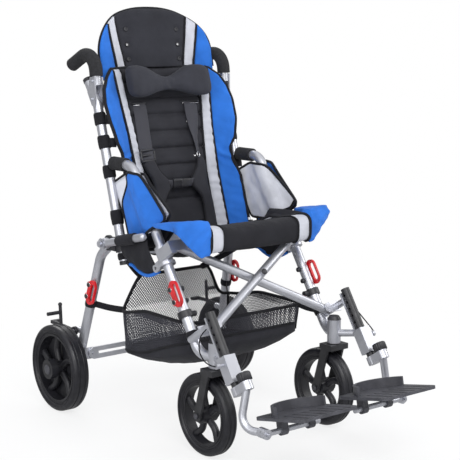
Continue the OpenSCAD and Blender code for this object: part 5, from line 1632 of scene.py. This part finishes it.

# %% [markdown]
# ### Sewing the pouches
# Each pouch is closed round with a second layer just behind the first, and a fat blue bead makes its
# hem. It belongs to the rail, like the rail's wrap.

# %% Pouches and their blue hems
for hand, side in hands:
    rings, hem = [], []
    for k in range(pouch_rows + 1):
        row, low = pouch_row(k / pouch_rows)
        rings.append([(side * p.x, p.y, p.z) for p in row]
                     + [(side * (p.x - pouch_thick), p.y, p.z) for p in reversed(row)])
        hem.append((side * (low.x + 0.5), low.y, low.z - 3))
    pouch = skin("seat_pouch_" + hand, rings, "black_cloth")
    settle(pouch, hand + "_rail", "black_cloth", squash=rail_fold(side))
    blue_hem = bead("seat_pouch_hem_" + hand, hem, 4.6, "blue_cloth", up=(1, 0, 0))
    settle(blue_hem, hand + "_rail", "blue_cloth", squash=rail_fold(side))
print("pouch hems", round(run_length(hem)), "mm long")

# %% [markdown]
# ### Tabs from the back to its bands
# Short tapes run from the bands on the canes to the edge of the wings and carry the back. They are
# straps of three points. They stay with the cane, because that is the end they are sewn round.

# %% Back tabs
tab_heights = (776, 718)
for hand, side in hands:
    for i, z in enumerate(tab_heights):
        edge_x = min(197, along(back_half, z) - 4)
        start = Vector((side * 199, back_line(z) - 14, z))
        end = Vector((side * edge_x, back_cloth_y(edge_x, z) + 4, z))
        tab = strap(f"back_tab_{hand}_{i}", [start, start.lerp(end, 0.5), end], 24, 2.0, "binding_tape",
                    (1, 0, 0))
        settle(tab, hand + "_frame", "black_cloth")
print("tabs", 2 * len(tab_heights))

# %% [markdown]
# ### Bolts of the tie-down loops
# Each red loop is held by two bolts with washers; the front ones go through the leg and have a cap nut
# on its inner side. A modelled thread would never be seen, so each head is only a domed disc that
# faces outwards, with a bright ring under it.

# %% Bolts, nuts and washers of the loops
rear_bolts = [(241.1, 310.6, 316.0), (238.2, 302.7, 346.9)]
front_bolts = [(221.8, leg_y + up * math.sin(lean), leg_z + up * math.cos(lean)) for up in (19, 51)]
for hand, side in hands:
    outward = (side, 0, 0)
    for i, (x, y, z) in enumerate(front_bolts + rear_bolts):
        head = button(f"loop_bolt_{hand}_{i}", (side * x, y, z), outward, 5.6, 4.2, "black_coat", dome=0.6)
        settle(head, hand + "_frame", "black_metal")
        if i < len(front_bolts):
            nut = button(f"loop_nut_{hand}_{i}", (side * 190.2, y, z), (-side, 0, 0), 6.4, 9.5,
                         "black_plastic", dome=0.7)
            settle(nut, hand + "_frame", "black_plastic")
        washer = ring_of(f"loop_washer_{hand}_{i}", (side * (x + 0.3), y, z), outward, 5.8, 0.8,
                         "bright_metal")
        settle(washer, hand + "_frame", "black_metal")
print("bolts", 2 * len(front_bolts + rear_bolts))

# %% [markdown]
# ### Pin cords
# A thin cord ties each footrest pin to its channel. It is drawn as a slack bow through six points.

# %% Pin cords at the footrests
cord_points = [(226, -187, 322), (244, -188, 306), (259, -204, 280), (262, -226, 262),
               (257, -243, 254), (250, -252, 251.5)]
cord_radius = 1.6
for hand, side in hands:
    run = smooth_path([(side * x, y, z) for x, y, z in cord_points])
    cord = bead("pin_cord_" + hand, run, cord_radius, "binding_tape")
    settle(cord, hand + "_frame", "black_plastic")

# %% [markdown]
# ### The bolt through the cross
# Where the two cross tubes meet, one bolt goes through both. Its two ends turn with their own tube.
# How far each stands out is measured on the tube's mesh, so the caps sit on the metal and not near it.

# %% Caps of the cross bolt
across_way = Vector((0, -math.cos(lean), math.sin(lean)))
cross_at, cap_reach = Vector((0, -95.4, 401.5)), 14
for which, turn in (("front", 1), ("rear", -1)):
    outward = across_way * turn
    near = [v.co * 1000 - cross_at for v in nodes[which + "_cross_tube"].data.vertices]
    out = max(p.dot(outward) for p in near if (p - across_way * p.dot(across_way)).length < cap_reach)
    cap = button("cross_bolt_" + which, cross_at + across_way * (turn * (out - 0.5)), outward, 7.5, 5.5,
                 "black_plastic", dome=0.7)
    settle(cap, which + "_cross", "black_plastic")
    print("cross bolt", which, "stands", round(out), "mm out")

# %% [markdown]
# ### Knobs of the footrests
# A ribbed knob closes the clamp that holds each footrest at its height. Ribs could be an array of
# small boxes; a radius that rises and falls eighteen times round a turned profile is one clean mesh.

# %% Ribbed knobs that lock the footrests' height
def on_lean(side, x, behind, up):
    """A place measured in the leaning frame of the front leg."""
    return Vector((side * x, leg_y + behind * math.cos(lean) + up * math.sin(lean),
                   leg_z - behind * math.sin(lean) + up * math.cos(lean)))

knob_profile = [(-235.6, 15.0), (-235, 16.2), (-220, 16.2), (-217, 15.6),
                (-215.4, 13.6), (-214.9, 8), (-214.9, 1)]
knob_ribs, knob_points, rib_high, ribbed_over = 18, 108, 0.7, 14
level, rearward = Vector((1, 0, 0)), Vector((0, math.cos(lean), -math.sin(lean)))
for hand, side in hands:
    rings = []
    for up, r in knob_profile:
        middle = on_lean(side, 213, -144, up)
        ring = []
        for k in range(knob_points):
            a = math.tau * k / knob_points
            reach = r + (rib_high * math.cos(knob_ribs * a) if r > ribbed_over else 0)
            ring.append(middle + level * (reach * math.cos(a)) + rearward * (reach * math.sin(a)))
        rings.append(ring)
    settle(skin("height_knob_" + hand, rings, "black_plastic"), hand + "_footrest", "black_plastic")
print("knob ribs", knob_ribs)

# %% [markdown]
# ## Beads on the tyres
# A solid tyre comes out of its mould with fine raised beads round each side wall, and a lip of the
# wheel's centre holds it. A bump in the rubber would vanish at the edge of the wheel, where the beads
# show most, so each one is a thin ring that is half sunk into the wall and turns with its wheel.

# %% Side wall beads and rim lips
lip_share, lip_inset, lip_radius = 0.72, 23.6, 1.7
bead_insets, bead_radius, bead_sunk = (10.6, 13.4), 0.75, 0.15
axle_way = (1, 0, 0)
beads = 0
for kind in ("caster", "rear"):
    for hand, _ in hands:
        low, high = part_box(f"{hand}_{kind}_tyre")
        middle = [(a + b) * 500 for a, b in zip(low, high)]
        half, big = (high[0] - low[0]) * 500, (high[2] - low[2]) * 500
        wheel = f"{hand}_{kind}_wheel"
        for wall in (-1, 1):
            lip_at = (middle[0] + wall * half * lip_share, middle[1], middle[2])
            lip = ring_of(f"{hand}_{kind}_tyre_lip_{beads}", lip_at, axle_way, big - lip_inset, lip_radius,
                          "wheel_plastic", 96, 10)
            settle(lip, wheel, "wheel")
            for inset in bead_insets:
                at = (middle[0] + wall * (half - bead_sunk), middle[1], middle[2])
                ring = ring_of(f"{hand}_{kind}_tyre_bead_{beads}", at, axle_way, big - inset, bead_radius,
                               "tyre_rubber", 96, 8)
                settle(ring, wheel, "tyre")
                beads += 1
print("tyre beads", beads)

# %% [markdown]
# ## Wheel centres
# Behind the spokes of the rear wheels lies the dark lock plate that is moulded into the wheel's inner
# side, and the axles end in bolt heads. A plate is a shallow turned dish, so it is skinned over a few
# rings from the hub outwards instead of being cut from a cylinder.

# %% Lock plates, hub domes and axle bolts
plate_inset, plate_behind, near_axle = 26.5, 12, 16

def box_of(node):
    return [corner * 1000 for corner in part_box(node)]

for hand, side in hands:
    outward = (side, 0, 0)
    low, high = box_of(hand + "_rear_tyre")
    hub = (low + high) / 2
    rim = (high.z - low.z) / 2 - plate_inset
    profile = [(20, -2), (rim, -2), (rim, 1), (rim - 7, 1.6), (rim - 10, 0), (34, 0), (30, 2.5), (20, 2.5)]
    plate = dish("rear_lock_plate_" + hand, hub - Vector((side * plate_behind, 0, 0)), outward, profile,
                 "wheel_plastic", 72)
    settle(plate, hand + "_rear_wheel", "wheel")
    low, high = box_of(hand + "_rear_rim")
    end = high.x if side > 0 else low.x
    dome = button("rear_hub_dome_" + hand, (end - side * 0.3, hub.y, hub.z), outward, 13, 3.2,
                  "plate_plastic", sides=36, dome=0.8)
    settle(dome, hand + "_rear_wheel", "wheel")
    low, high = box_of(hand + "_caster_tyre")
    middle = (low + high) / 2
    axle = Vector((0, middle.y, middle.z))
    near = [v.co.x * 1000 for v in nodes[hand + "_caster_fork"].data.vertices
            if (Vector((0, v.co.y, v.co.z)) * 1000 - axle).length < near_axle]
    for i, (x, way) in enumerate(((min(near), -1), (max(near), 1))):
        bolt = button(f"caster_bolt_{hand}_{i}", (x - way * 0.4, axle.y, axle.z), (way, 0, 0), 7.2, 3.6,
                      "plate_plastic", sides=6, dome=0.3)
        settle(bolt, hand + "_caster", "black_metal")
    print(hand, "plate", round(rim), "mm, fork", round(min(near)), round(max(near)))
